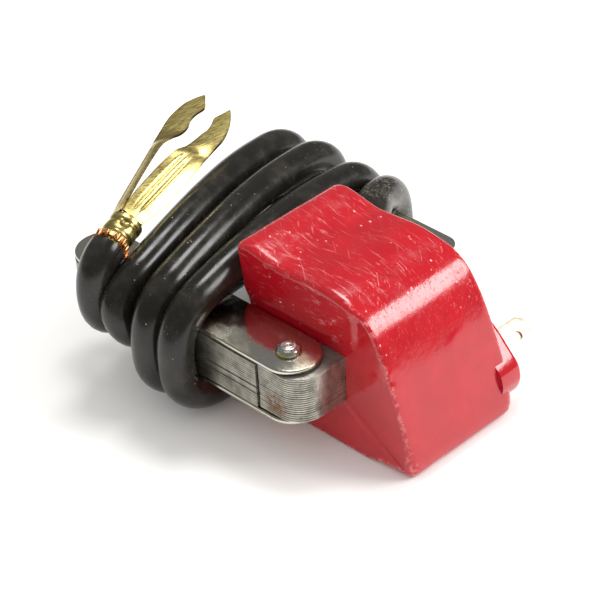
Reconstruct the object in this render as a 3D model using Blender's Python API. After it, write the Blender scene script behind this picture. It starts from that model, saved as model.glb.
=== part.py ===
"""Ignition coil for a small engine: a red moulded coil on one end of a U-shaped laminated core.

Frame: +X from the core's open end towards the coil, +Y across the two legs, +Z up.
The origin is on the bench, under the middle of the coil and core. All sizes below are in millimetres.
"""

import math

import bmesh
import bpy
import numpy as np
from mathutils import Matrix, Vector

MM = 0.001
GAP = 0.3  # clearance between pieces that touch

# Core
CORE_HALF_WIDTH = 25.5
STACK_BOTTOM = 10.7
STACK_TOP = 20.2
PLATE = 0.9  # thickness of a cheek plate
LEG_WIDTH = 11.4
LEG_AXIS_Y = CORE_HALF_WIDTH - LEG_WIDTH / 2
LEG_END_R = LEG_WIDTH / 2
LEG_TIP_X = -39.6
LEG_BUTT_X = 13.1  # where a leg meets the bar
LUG_START_X = -13.0  # the thin lug runs from here to the tip
LUG_BOTTOM = 17.2
BAR_X = (13.4, 23.7)
BAR_Y = (-25.1, 21.6)
BAR_CORNER_R = 5.0
LUG_HOLE_R = 2.6
LUG_HOLE_X = LEG_TIP_X + LEG_END_R + 0.6

# Rivets
RIVET_SHANK_R = 1.6
RIVET_HEAD_R = 2.45
RIVET_HEAD_H = 1.5
CORNER_RIVET_NEAR = (16.0, -LEG_AXIS_Y)
CORNER_RIVET_FAR = (10.6, LEG_AXIS_Y)
LEG_RIVET_X = -9.0

# Coil moulding, whose outline is in the X-Z plane
BODY_HALF_Y = 13.0  # at the top
BODY_DRAFT = 0.9  # how much wider each side is at the bottom
BODY_TOP = 33.4
BODY_LEFT_X = -3.6
BODY_RIGHT_X = 39.6
BORE_AXIS_X = sum(BAR_X) / 2
BORE_AXIS_Z = (STACK_BOTTOM + STACK_TOP) / 2
CAVITY_R = 12.7
CAVITY_HALF_Y = 10.6

# Windings, as half widths of rounded squares round the bar
BOBBIN_HALF = 6.5
PRIMARY_HALF = 8.2
SLEEVE_HALF = 8.9
SECONDARY_R = 11.6
WRAP_R = 12.3
WEDGE = 0.4  # thickness of the strip that holds the bobbin tight on the bar
WINDING_HALF_Y = 8.6
BOBBIN_HALF_Y = 10.2

# High-tension lead
LEAD_D = 7.0
LEAD_R = LEAD_D / 2
LEAD_LOW_Z = LEAD_R  # it lies on the bench
LEAD_HIGH_Z = 25.3
LEAD_UNDER_LUG_Z = 12.0  # the middle of the runs that pass under the lugs
TURN_HALF_Y = 29.3
NEAR_TURN_X = (-3.9, -10.9, -17.0)  # where the wound turns cross the near side
FAR_TURN_X = (-4.2, -10.8, -20.6, -26.9)  # and the far side
LOW_TURNS_X = (-14.1, -15.4)  # near and far: turns left of this pass under the lugs only
OUTLET = (3.4, 13.2, 26.0)  # where the lead leaves the moulding
SLEEVE_R = 4.3  # the sleeve round it there
SOCKET_DEPTH = 6.4  # how far from the middle plane the lead's inner end lies
PIN_R = 0.8
WIRE_R = 0.3

# Plug clip, in its own frame: along, across, up
CLIP_BASE = Vector((-25.5, -24.6, 27.6))
CLIP_ALONG = Vector((-0.2997, 0.9431, 0.1440)).normalized()
CLIP_LENGTH = 43.7
CLIP_SHEET = 0.5
BARREL_R = 3.3
BARREL_LENGTH = 6.5
ARM_PIVOT = 7.0  # how far along the clip an arm starts to bend
STRAND_R = 0.32

RED = ((0.60, 0.012, 0.022, 1.0), 0.22, 0.0)
STEEL = ((0.42, 0.41, 0.38, 1.0), 0.38, 1.0)
TINNED = ((0.62, 0.60, 0.55, 1.0), 0.22, 1.0)
BRASS = ((0.72, 0.56, 0.22, 1.0), 0.30, 1.0)
COPPER = ((0.80, 0.36, 0.18, 1.0), 0.35, 1.0)
RUBBER = ((0.012, 0.011, 0.010, 1.0), 0.25, 0.0)
NYLON = ((0.70, 0.66, 0.55, 1.0), 0.45, 0.0)
PAPER = ((0.55, 0.42, 0.22, 1.0), 0.70, 0.0)
FIBRE = ((0.30, 0.12, 0.06, 1.0), 0.60, 0.0)


def clear_scene():
    """Remove every object that is already in the file."""
    for old in list(bpy.data.objects):
        bpy.data.objects.remove(old, do_unlink=True)


def material(name, finish):
    """A plain material with a colour, a roughness and a metallic value."""
    colour, roughness, metallic = finish
    made = bpy.data.materials.new(name)
    made.use_nodes = True
    shader = made.node_tree.nodes["Principled BSDF"]
    shader.inputs["Base Color"].default_value = colour
    shader.inputs["Roughness"].default_value = roughness
    shader.inputs["Metallic"].default_value = metallic
    made.diffuse_color = colour
    return made


def add_object(name, mesh, finish=None, smooth=False):
    """Put a mesh in the scene. Without a finish it is a cutter, which stays out of the model."""
    thing = bpy.data.objects.new(name, mesh)
    bpy.context.collection.objects.link(thing)
    if smooth:
        mesh.shade_smooth()
        mesh.set_sharp_from_angle(angle=math.radians(35))
    if finish is None:
        thing.hide_render = True
        thing.display_type = "WIRE"
    else:
        mesh.materials.append(material(name + "_finish", finish))
    return thing


def mesh_from(name, points, faces):
    """A closed mesh from points in millimetres, with its faces turned outwards."""
    mesh = bpy.data.meshes.new(name)
    mesh.from_pydata([tuple(c * MM for c in p) for p in points], [], faces)
    work = bmesh.new()
    work.from_mesh(mesh)
    bmesh.ops.recalc_face_normals(work, faces=work.faces)
    work.to_mesh(mesh)
    work.free()
    return mesh


def prism(name, outline, axis, low, high, finish=None, smooth=False, widen=None):
    """A solid from an outline in the plane across axis, drawn from low to high along it.

    axis "X" takes (y, z) outlines, "Y" takes (x, z) and "Z" takes (x, y). widen moves an
    end point outwards along the axis by a length that depends on the point.
    """
    place = {
        "X": lambda a, b, c: (c, a, b),
        "Y": lambda a, b, c: (a, c, b),
        "Z": lambda a, b, c: (a, b, c),
    }[axis]
    count = len(outline)
    extra = [widen(a, b) if widen else 0.0 for a, b in outline]
    points = [place(a, b, low - e) for (a, b), e in zip(outline, extra)]
    points += [place(a, b, high + e) for (a, b), e in zip(outline, extra)]
    faces = [tuple(range(count)), tuple(range(count, 2 * count))]
    faces += [(i, (i + 1) % count, count + (i + 1) % count, count + i) for i in range(count)]
    return add_object(name, mesh_from(name, points, faces), finish, smooth)


def arc(centre, radius, start, end, steps):
    """Points on a circle, from one angle to another in degrees."""
    angles = [math.radians(start + (end - start) * i / steps) for i in range(steps + 1)]
    return [(centre[0] + radius * math.cos(a), centre[1] + radius * math.sin(a)) for a in angles]


def circle(centre, radius, sides):
    """A closed circle of points, without the last point repeated."""
    return arc(centre, radius, 0, 360, sides)[:-1]


def rounded_box(low, high, radius, steps=4):
    """The outline of a rectangle with round corners."""
    corners = [
        ((high[0] - radius, high[1] - radius), 0),
        ((low[0] + radius, high[1] - radius), 90),
        ((low[0] + radius, low[1] + radius), 180),
        ((high[0] - radius, low[1] + radius), 270),
    ]
    return [p for centre, turn in corners for p in arc(centre, radius, turn, turn + 90, steps)]


def smooth_line(points, count, closed=False):
    """A smooth curve through points (Catmull-Rom), read at count even steps of its parameter."""
    path = np.array(points, float)
    if closed:
        path = np.concatenate([path[-1:], path, path[:2]])
    else:
        path = np.concatenate([2 * path[:1] - path[1:2], path, 2 * path[-1:] - path[-2:-1]])
    spans = len(path) - 3
    read = []
    for place in np.linspace(0, spans, count, endpoint=not closed):
        i = min(int(place), spans - 1)
        t = place - i
        a, b, c, d = path[i : i + 4]
        read.append(
            0.5 * (2 * b + (c - a) * t + (2 * a - 5 * b + 4 * c - d) * t**2 + (3 * b - a - 3 * c + d) * t**3)
        )
    return read


def evenly(points, step):
    """The same line with points about step apart."""
    line = np.array(points, float)
    along = np.concatenate([[0], np.cumsum(np.linalg.norm(np.diff(line, axis=0), axis=1))])
    at = np.linspace(0, along[-1], max(2, round(along[-1] / step) + 1))
    return np.stack([np.interp(at, along, line[:, k]) for k in range(3)], axis=1)


def cut(target, cutter):
    """Take the cutter's shape out of the target."""
    boolean = target.modifiers.new("cut_" + cutter.name, "BOOLEAN")
    boolean.operation = "DIFFERENCE"
    boolean.object = cutter


def join(target, other):
    """Add the other shape to the target, as one moulding."""
    boolean = target.modifiers.new("join_" + other.name, "BOOLEAN")
    boolean.operation = "UNION"
    boolean.object = other


def chamfer(target, width, segments=2, angle=40):
    """Round the sharp edges."""
    bevel = target.modifiers.new("edges", "BEVEL")
    bevel.width = width * MM
    bevel.segments = segments
    bevel.limit_method = "ANGLE"
    bevel.angle_limit = math.radians(angle)


def tube(name, points, radius, finish):
    """A round lead along points, with filled ends."""
    curve = bpy.data.curves.new(name, "CURVE")
    curve.dimensions = "3D"
    curve.bevel_depth = radius * MM
    curve.bevel_resolution = 3
    curve.use_fill_caps = True
    spline = curve.splines.new("POLY")
    spline.points.add(len(points) - 1)
    for point, place in zip(spline.points, points):
        point.co = (*[c * MM for c in place], 1.0)
    thing = bpy.data.objects.new(name, curve)
    bpy.context.collection.objects.link(thing)
    curve.materials.append(material(name + "_finish", finish))
    return thing


# ---------------------------------------------------------------- core


def slot_outline(low_x, high_x, axis_y, radius, steps=10):
    """A strip with both ends fully rounded."""
    right = arc((high_x - radius, axis_y), radius, -90, 90, steps)
    left = arc((low_x + radius, axis_y), radius, 90, 270, steps)
    return right + left


def leg_outline(side):
    """A leg from above: square where it butts on the bar, round at its tip."""
    outer, inner = side * CORE_HALF_WIDTH, side * (CORE_HALF_WIDTH - LEG_WIDTH)
    tip = arc((LEG_TIP_X + LEG_END_R, side * LEG_AXIS_Y), LEG_END_R, side * 90, side * 270, 12)
    return [(LEG_BUTT_X, inner), (LEG_BUTT_X, outer), *tip]


def make_leg(side, label):
    """One leg of laminations, whose lower ones stop short and leave a thin mounting lug."""
    leg = prism(f"core_leg_{label}", leg_outline(side), "Z", STACK_BOTTOM, STACK_TOP, STEEL)
    low = (LEG_TIP_X - 2, side * LEG_AXIS_Y - LEG_WIDTH)
    high = (LUG_START_X, side * LEG_AXIS_Y + LEG_WIDTH)
    step = [low, (high[0], low[1]), high, (low[0], high[1])]
    cut(leg, prism(f"lug_step_{label}", step, "Z", STACK_BOTTOM - 2, LUG_BOTTOM))
    for name, (x, y), radius in hole_list(side, label):
        cut(leg, prism(name + "_in_leg", circle((x, y), radius, 20), "Z", 0, 30))
    return leg


def hole_list(side, label):
    """The holes through a leg and its plates: the lug's mounting hole and the leg rivet's."""
    holes = [
        (f"lug_hole_{label}", (LUG_HOLE_X, side * LEG_AXIS_Y), LUG_HOLE_R),
        (f"leg_rivet_hole_{label}", (LEG_RIVET_X, side * LEG_AXIS_Y), RIVET_SHANK_R + GAP),
    ]
    if side > 0:
        holes.append((f"corner_hole_{label}", CORNER_RIVET_FAR, RIVET_SHANK_R + GAP))
    return holes


def make_plate(side, label, level):
    """A tinned cheek plate over or under a leg. The top one runs out over the lug."""
    top = level == "top"
    start = LEG_TIP_X if top else LUG_START_X
    if side < 0:
        end = CORNER_RIVET_NEAR[0] + LEG_END_R + 0.5
        outline = slot_outline(start, end, -LEG_AXIS_Y, LEG_END_R)
    else:
        outer, inner = CORE_HALF_WIDTH, CORE_HALF_WIDTH - LEG_WIDTH
        tip = arc((start + LEG_END_R, LEG_AXIS_Y), LEG_END_R, 90, 270, 12)
        outline = [(16.5, inner), *arc((13.5, outer - 3.0), 3.0, 0, 90, 4), *tip]
    low = STACK_TOP + GAP if top else STACK_BOTTOM - GAP - PLATE
    plate = prism(f"cheek_{level}_{label}", outline, "Z", low, low + PLATE, TINNED)
    for name, (x, y), radius in hole_list(side, label):
        if top or "lug" not in name:
            cut(plate, prism(f"{name}_in_{level}", circle((x, y), radius, 20), "Z", 0, 30))
    if side < 0:
        hole = circle(CORNER_RIVET_NEAR, RIVET_SHANK_R + GAP, 20)
        cut(plate, prism(f"corner_hole_near_in_{level}", hole, "Z", 0, 30))
    return plate


def make_bar():
    """The core's bar, which passes through the coil. Its outer corners are round."""
    low_x, high_x = BAR_X
    low_y, high_y = BAR_Y
    radius = BAR_CORNER_R
    outline = [
        (low_x, high_y),
        (low_x, low_y),
        *arc((high_x - radius, low_y + radius), radius, -90, 0, 8),
        *arc((high_x - radius, high_y - radius), radius, 0, 90, 8),
    ]
    bar = prism("core_bar", outline, "Z", STACK_BOTTOM, STACK_TOP, STEEL)
    hole = circle(CORNER_RIVET_NEAR, RIVET_SHANK_R + GAP, 20)
    cut(bar, prism("corner_hole_near_in_bar", hole, "Z", 0, 30))
    return bar


def turned(name, profile, centre, finish, sides=24):
    """A solid turned round the vertical through centre. profile runs top to bottom as (radius, z)."""
    points, faces = [], []
    for radius, z in profile:
        points += [(x, y, z) for x, y in circle(centre, radius, sides)]
    for ring in range(len(profile) - 1):
        for i in range(sides):
            j = (i + 1) % sides
            faces.append((ring * sides + i, ring * sides + j, (ring + 1) * sides + j, (ring + 1) * sides + i))
    faces.append(tuple(range(sides)))
    faces.append(tuple(range((len(profile) - 1) * sides, len(profile) * sides)))
    return add_object(name, mesh_from(name, points, faces), finish, smooth=True)


def make_rivets():
    """Two domed corner rivets, and two flush rivets under the lead's turns."""
    top = STACK_TOP + GAP + PLATE
    bottom = STACK_BOTTOM - GAP - PLATE
    dome = [(0.35, 1.0), (0.75, 0.88), (0.95, 0.6), (1.0, 0.3), (0.96, 0.0)]
    upper = [(RIVET_HEAD_R * r, top + GAP + RIVET_HEAD_H * h) for r, h in dome]
    lower = [(RIVET_HEAD_R * r, bottom - GAP - 0.7 * RIVET_HEAD_H * h) for r, h in reversed(dome)]
    shank = [(RIVET_SHANK_R, top + GAP), (RIVET_SHANK_R, bottom - GAP)]
    for name, centre in (("corner_rivet_near", CORNER_RIVET_NEAR), ("corner_rivet_far", CORNER_RIVET_FAR)):
        turned(name, upper + shank + lower, centre, STEEL)
    for side, label in ((-1, "near"), (1, "far")):
        flush = [(RIVET_SHANK_R, top), (RIVET_SHANK_R, bottom)]
        turned(f"leg_rivet_{label}", flush, (LEG_RIVET_X, side * LEG_AXIS_Y), STEEL, sides=16)


# ---------------------------------------------------------------- coil


def body_outline():
    """The moulding's outline: a raised lip on the left, a crown, a round shoulder and a steep face."""
    left = [(BODY_LEFT_X, 31.9), (-1.6, 25.0), (-0.6, 18.0), (0.0, 9.0), (0.3, 0.0)]
    bottom = [(BODY_RIGHT_X - 1.9, 0.0), *arc((BODY_RIGHT_X - 1.6, 1.6), 1.6, -60, 0, 3)]
    face = [(BODY_RIGHT_X - 0.15, 3.6), (37.1, 12.0), (35.3, 17.5), (33.4, 22.2)]
    shoulder = [(31.3, 26.4), (29.9, 28.4), (28.2, 30.0), (26.0, 31.1), (23.6, 31.9)]
    crown = [(18.0, 32.7), (12.0, 32.5), (7.0, 32.1), (3.2, 32.6), (0.6, BODY_TOP), (-1.6, 33.1)]
    return left + bottom + face + shoulder + crown


def square_round(half, radius, steps=4):
    """A rounded square round the bar, in the X-Z plane."""
    low = (BORE_AXIS_X - half, BORE_AXIS_Z - half)
    high = (BORE_AXIS_X + half, BORE_AXIS_Z + half)
    return rounded_box(low, high, radius, steps)


def make_body():
    """The red moulding, hollow for the windings and open to the bar's bore at both sides."""
    spread = lambda x, z: BODY_DRAFT * (1 - z / BODY_TOP)
    body = prism("coil_body", body_outline(), "Y", -BODY_HALF_Y, BODY_HALF_Y, RED, True, spread)
    boss = [(29.0, 2.4), (35.5, 1.6), *arc((35.3, 6.4), 4.0, -60, 40, 5), (38.5, 9.9), (31.6, 16.6), (27.0, 12.0)]
    join(body, prism("terminal_boss", boss, "Y", 11.0, BODY_HALF_Y + 3.6))
    cavity = circle((BORE_AXIS_X, BORE_AXIS_Z), CAVITY_R, 36)
    cut(body, prism("cavity", cavity, "Y", -CAVITY_HALF_Y, CAVITY_HALF_Y))
    half_x = (BAR_X[1] - BAR_X[0]) / 2 + GAP
    half_z = (STACK_TOP - STACK_BOTTOM) / 2 + GAP
    bore = rounded_box(
        (BORE_AXIS_X - half_x, BORE_AXIS_Z - half_z), (BORE_AXIS_X + half_x, BORE_AXIS_Z + half_z), 0.2, 1
    )
    cut(body, prism("bar_bore", bore, "Y", -30, 30))
    outlet = circle((OUTLET[0], OUTLET[2]), SLEEVE_R + GAP, 20)
    cut(body, prism("lead_socket", outlet, "Y", SOCKET_DEPTH, 30))
    pin = circle((OUTLET[0], OUTLET[2]), PIN_R + GAP, 12)
    cut(body, prism("contact_bore", pin, "Y", 1.0, 7.0))
    feed = rounded_box((OUTLET[0] - 1.0, OUTLET[2] - 0.8), (12.0, OUTLET[2] + 0.8), 0.2, 1)
    cut(body, prism("secondary_feed", feed, "Y", 1.2, 3.4))
    blade_slot = blade_outline(TAB_WIDTH + 0.7, TAB_SHEET + 0.7)
    cut(body, prism("blade_slot", blade_slot, "Y", 8.0, 30))
    wire_feed = rounded_box((26.0, 9.2), (34.4, 10.6), 0.2, 1)
    cut(body, prism("primary_feed", wire_feed, "Y", 8.2, 9.8))
    return body


TAB_WIDTH = 6.3
TAB_SHEET = 0.8
TAB_CENTRE = (34.4, 11.2)
TAB_TILT = -38.0
TAB_Y = (9.2, 23.6)
TAB_HOLE_R = 0.85


def blade_outline(width, thickness):
    """The blade's section, tilted about Y, in the X-Z plane."""
    turn = math.radians(TAB_TILT)
    wide = (math.cos(turn) * width / 2, math.sin(turn) * width / 2)
    thick = (-math.sin(turn) * thickness / 2, math.cos(turn) * thickness / 2)
    return [
        (TAB_CENTRE[0] + a * wide[0] + b * thick[0], TAB_CENTRE[1] + a * wide[1] + b * thick[1])
        for a, b in ((-1, -1), (1, -1), (1, 1), (-1, 1))
    ]


def make_windings():
    """The bobbin with its two windings and the insulation round each."""
    bar_half = (BAR_X[1] - BAR_X[0]) / 2 + GAP
    layers = [
        ("primary_winding", square_round(PRIMARY_HALF, 4.3), square_round(BOBBIN_HALF + GAP, 1.0), COPPER),
        ("interlayer_sleeve", square_round(SLEEVE_HALF, 5.0), square_round(PRIMARY_HALF + GAP, 4.6), PAPER),
        ("secondary_winding", winding_circle(SECONDARY_R), square_round(SLEEVE_HALF + GAP, 5.3), COPPER),
    ]
    for name, outer, inner, finish in layers:
        ring = prism(name, outer, "Y", -WINDING_HALF_Y, WINDING_HALF_Y, finish)
        cut(ring, prism(name + "_bore", inner, "Y", -20, 20))
    wrap = prism("secondary_wrap", winding_circle(WRAP_R), "Y", -WINDING_HALF_Y, WINDING_HALF_Y, PAPER)
    cut(wrap, prism("wrap_bore", winding_circle(SECONDARY_R + GAP), "Y", -20, 20))
    cut(wrap, prism("wrap_window", rounded_box((-2, 23.0), (16, 27.6), 0.3, 1), "Y", 0.4, 4.2))
    bobbin = prism("bobbin", square_round(BOBBIN_HALF, 0.8), "Y", -BOBBIN_HALF_Y, BOBBIN_HALF_Y, NYLON)
    for sign in (-1, 1):
        inner_y, outer_y = WINDING_HALF_Y + GAP, BOBBIN_HALF_Y
        low, high = sorted((sign * inner_y, sign * outer_y))
        flange = prism(f"flange_{'near' if sign < 0 else 'far'}", winding_circle(WRAP_R), "Y", low, high)
        join(bobbin, flange)
    top = STACK_TOP + WEDGE + 2 * GAP
    hole = rounded_box(
        (BORE_AXIS_X - bar_half, STACK_BOTTOM - GAP), (BORE_AXIS_X + bar_half, top), 0.2, 1
    )
    cut(bobbin, prism("bobbin_bore", hole, "Y", -20, 20))
    notch = rounded_box((25.2, 8.8), (33.0, 11.0), 0.2, 1)
    cut(bobbin, prism("bobbin_notch", notch, "Y", 8.0, 12.0))
    wedge = rounded_box((BORE_AXIS_X - 3.5, STACK_TOP + GAP), (BORE_AXIS_X + 3.5, top - GAP), 0.1, 1)
    prism("core_wedge", wedge, "Y", -BOBBIN_HALF_Y, BOBBIN_HALF_Y, FIBRE)
    x, _, z = OUTLET
    tube("secondary_lead", [(x + 1.2, 2.3, z), (8.0, 2.3, z), (11.1, 2.3, z)], WIRE_R, COPPER)
    tube("primary_lead", [(25.6, 9.25, 9.9), (29.0, 9.25, 9.9), (32.0, 9.25, 9.9)], WIRE_R, COPPER)


def winding_circle(radius):
    """A circle round the bar, in the X-Z plane."""
    return circle((BORE_AXIS_X, BORE_AXIS_Z), radius, 32)


def make_terminal():
    """The push-on blade for the low-tension wire, tilted in its boss, and the wire behind it."""
    blade = prism("spade_terminal", blade_outline(TAB_WIDTH, TAB_SHEET), "Y", *TAB_Y, TINNED)
    hole = circle((0, 0), TAB_HOLE_R, 16)
    cutter = prism("blade_hole", hole, "Z", -3, 3)
    cutter.matrix_world = Matrix.Translation(
        Vector((TAB_CENTRE[0], TAB_Y[1] - 3.2, TAB_CENTRE[1])) * MM
    ) @ Matrix.Rotation(math.radians(-TAB_TILT), 4, "Y")
    cut(blade, cutter)


# ---------------------------------------------------------------- lead


def make_lead():
    """The lead's wound turns as one block round the legs, and its last turn as a tube."""
    outer = rounded_box((-TURN_HALF_Y - LEAD_R, 0.0), (TURN_HALF_Y + LEAD_R, LEAD_HIGH_Z + LEAD_R), 12.0, 8)
    near = (NEAR_TURN_X[-1] - LEAD_R, NEAR_TURN_X[0] + LEAD_R)
    far = (FAR_TURN_X[-1] - LEAD_R, FAR_TURN_X[0] + LEAD_R)
    middle_x = lambda y, k: near[k] + (far[k] - near[k]) * (y + TURN_HALF_Y) / (2 * TURN_HALF_Y)
    count = len(outer)
    points = [(middle_x(y, 0), y, z) for y, z in outer] + [(middle_x(y, 1), y, z) for y, z in outer]
    faces = [tuple(range(count)), tuple(range(count, 2 * count))]
    faces += [(i, (i + 1) % count, count + (i + 1) % count, count + i) for i in range(count)]
    turns = add_object("ht_lead_turns", mesh_from("ht_lead_turns", points, faces), RUBBER, True)
    half = CORE_HALF_WIDTH + GAP
    top = STACK_TOP + PLATE + 2 * GAP
    window = rounded_box((-half, LUG_BOTTOM - GAP), (half, top), 0.8, 2)
    cut(turns, prism("lug_window", window, "X", -60, 60))
    window = rounded_box((-half, STACK_BOTTOM - PLATE - 2 * GAP), (half, top - 1.0), 0.8, 2)
    cut(turns, prism("leg_window", window, "X", LUG_START_X - GAP, 60))
    under = [(-60, -40), (LOW_TURNS_X[0], -40), (LOW_TURNS_X[1], 40), (-60, 40)]
    cut(turns, prism("under_lug_turns", under, "Z", -5, LEAD_UNDER_LUG_Z - LEAD_R))
    half = BODY_HALF_Y + BODY_DRAFT + GAP
    lip_room = rounded_box((-half, 18.0), (half, 40.0), 0.3, 1)
    cut(turns, prism("lip_room", lip_room, "X", BODY_LEFT_X - GAP, 20))
    side_room = rounded_box((-half, -5.0), (half, 19.0), 0.3, 1)
    cut(turns, prism("side_room", side_room, "X", -0.4, 20))
    x, face, z = OUTLET
    end = half - GAP
    tube("ht_lead_exit", [(x, y, z) for y in np.linspace(SOCKET_DEPTH + 0.5, end, 4)], LEAD_R, RUBBER)
    sleeve = prism("ht_sleeve", circle((x, z), SLEEVE_R, 24), "Y", SOCKET_DEPTH + 0.5, face + 0.6, RUBBER, True)
    cut(sleeve, prism("sleeve_bore", circle((x, z), LEAD_R + GAP, 24), "Y", -20, 30))
    prism("ht_contact_pin", circle((x, z), PIN_R, 12), "Y", 1.3, SOCKET_DEPTH + 0.2, BRASS, True)
    route = TAIL_ROUTE + [tuple(CLIP_BASE + CLIP_ALONG * along) for along in (-2.6, -1.0, 0.2)]
    tube("ht_lead_tail", evenly(smooth_line(route, 200), LEAD_R), LEAD_R, RUBBER)


TAIL_ROUTE = [
    (-33.4, 23.5, 12.1),
    (-32.7, 19.0, 12.0),
    (-31.1, 10.0, 12.0),
    (-29.1, -2.0, 12.0),
    (-27.0, -14.0, 12.0),
    (-25.6, -22.0, 12.1),
    (-25.0, -28.0, 13.9),
    (-24.8, -29.7, 18.6),
    (-24.9, -28.6, 24.0),
]


# ---------------------------------------------------------------- clip


def clip_point(along, across, up):
    """A place on the clip, from its own frame, in millimetres."""
    side = CLIP_ALONG.cross(Vector((0, 0, 1))).normalized()
    rise = side.cross(CLIP_ALONG)
    return CLIP_BASE + CLIP_ALONG * along + side * across + rise * up


def ribbon(name, stations, finish):
    """A strip of sheet metal. Each station is (along, (across, up) of one edge, (across, up) of the other)."""
    points, faces = [], []
    for along, first, second in stations:
        edge = Vector((second[0] - first[0], second[1] - first[1]))
        normal = Vector((-edge.y, edge.x)).normalized() * CLIP_SHEET / 2
        for (a, u), sign in ((first, -1), (second, -1), (second, 1), (first, 1)):
            points.append(tuple(clip_point(along, a + sign * normal.x, u + sign * normal.y)))
    for s in range(len(stations) - 1):
        for i in range(4):
            j = (i + 1) % 4
            faces.append((4 * s + i, 4 * s + j, 4 * s + 4 + j, 4 * s + 4 + i))
    last = 4 * (len(stations) - 1)
    faces += [(3, 2, 1, 0), (last, last + 1, last + 2, last + 3)]
    return add_object(name, mesh_from(name, points, faces), finish)


def make_clip():
    """The plug clip: a crimped barrel round the stripped wire, and two sprung arms with jaws."""
    ring = [(BARREL_R * math.cos(a), 0.9 * BARREL_R * math.sin(a)) for a in np.linspace(0, 2 * math.pi, 24, False)]
    inner = [(c * (BARREL_R - CLIP_SHEET) / BARREL_R, u * (BARREL_R - CLIP_SHEET) / BARREL_R) for c, u in ring]
    count = len(ring)
    points = []
    for along in (0.6, BARREL_LENGTH):
        points += [tuple(clip_point(along, a, u)) for a, u in ring]
        points += [tuple(clip_point(along, a, u)) for a, u in inner]
    faces = []
    for i in range(count):
        j = (i + 1) % count
        far = 2 * count
        faces.append((i, j, far + j, far + i))
        faces.append((count + i, far + count + i, far + count + j, count + j))
        faces.append((i, count + i, count + j, j))
        faces.append((far + i, far + j, far + count + j, far + count + i))
    add_object("clip_barrel", mesh_from("clip_barrel", points, faces), BRASS, True)
    add_strands()
    right = [
        (ARM_PIVOT, (0.2, 3.0), (3.2, 0.4)),
        (12.0, (0.2, 2.9), (3.6, 0.1)),
        (20.0, (1.0, 2.7), (4.6, 0.0)),
        (25.5, (1.9, 2.3), (5.4, 0.3)),
        (28.3, (2.0, 1.3), (6.3, 0.9)),
        (31.2, (1.7, 1.0), (6.7, 1.0)),
        (33.5, (2.2, 1.0), (6.6, 1.0)),
        (35.4, (2.6, 1.0), (6.3, 1.0)),
        (37.5, (2.2, 1.0), (5.8, 1.0)),
        (39.2, (2.8, 1.0), (5.1, 1.0)),
        (41.2, (3.7, 1.0), (4.1, 1.0)),
    ]
    left = [
        (ARM_PIVOT, (-3.3, 0.6), (-1.6, 2.9)),
        (12.0, (-4.2, 0.5), (-2.7, 3.0)),
        (20.0, (-5.0, 0.5), (-3.6, 2.9)),
        (27.5, (-5.6, 0.8), (-3.4, 2.6)),
        (31.0, (-5.9, 1.0), (-2.2, 1.4)),
        (33.7, (-6.4, 1.0), (-1.6, 1.0)),
        (35.7, (-6.4, 1.0), (-2.1, 1.0)),
        (37.8, (-6.2, 1.0), (-2.0, 1.0)),
        (40.0, (-5.7, 1.0), (-1.3, 1.0)),
        (41.8, (-4.7, 1.0), (-2.0, 1.0)),
        (CLIP_LENGTH, (-3.2, 1.0), (-2.8, 1.0)),
    ]
    for name, stations in (("clip_arm_right", right), ("clip_arm_left", left)):
        ribbon(name, stations, BRASS)


def add_strands():
    """The lead's stripped copper, splayed a little where it leaves the barrel."""
    points = [tuple(clip_point(along, 0.0, 0.0)) for along in (0.9, 2.5, 4.0, 5.6)]
    tube("copper_strands", points, 1.6, COPPER)


def main():
    """Build every piece."""
    clear_scene()
    make_bar()
    for side, label in ((-1, "near"), (1, "far")):
        make_leg(side, label)
        make_plate(side, label, "top")
        make_plate(side, label, "bottom")
    make_rivets()
    make_body()
    make_windings()
    make_terminal()
    make_lead()
    make_clip()


main()
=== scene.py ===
"""Looks for a small-engine ignition coil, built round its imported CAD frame.

The frame is +X from the core's open end towards the coil, +Y across the two legs, +Z up, with the
origin on the bench. Shapes are worked out in millimetres and put into meshes in metres. Every
surface is a numpy array of points: rings of points stacked into a grid, each ring a closed outline
and each row a step along the piece.
"""

import logging
import math
from dataclasses import dataclass, field
from enum import Enum

import bpy
import numpy as np
from mathutils import Matrix, Vector
from mathutils.geometry import delaunay_2d_cdt


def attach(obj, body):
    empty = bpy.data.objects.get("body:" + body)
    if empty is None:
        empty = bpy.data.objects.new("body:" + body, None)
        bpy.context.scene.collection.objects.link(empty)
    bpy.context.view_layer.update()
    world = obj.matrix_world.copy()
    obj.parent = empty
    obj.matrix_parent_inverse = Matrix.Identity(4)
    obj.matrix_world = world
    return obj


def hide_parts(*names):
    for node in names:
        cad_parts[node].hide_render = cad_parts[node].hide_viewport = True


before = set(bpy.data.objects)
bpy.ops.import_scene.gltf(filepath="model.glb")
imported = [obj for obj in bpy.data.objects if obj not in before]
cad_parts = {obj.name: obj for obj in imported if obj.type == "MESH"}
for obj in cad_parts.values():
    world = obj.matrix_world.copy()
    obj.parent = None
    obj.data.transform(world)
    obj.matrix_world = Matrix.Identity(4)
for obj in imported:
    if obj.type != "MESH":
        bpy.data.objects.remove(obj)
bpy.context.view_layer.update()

MM = 0.001
SHARP_DEGREES = 38
LOG = logging.getLogger("ignition_coil")
Socket = bpy.types.NodeSocket
Material = bpy.types.Material
Thing = bpy.types.Object
Colour = tuple[float, float, float]


class Body(Enum):
    """The rigid bodies of the frame."""

    COIL = "coil"
    LEFT_ARM = "left_arm"
    RIGHT_ARM = "right_arm"


class Side(Enum):
    """The two legs of the core, by the sign of Y."""

    NEAR = -1
    FAR = 1

    @property
    def label(self) -> str:
        """The word used in node names."""
        return self.name.lower()


# ------------------------------------------------------------------ material building


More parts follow.
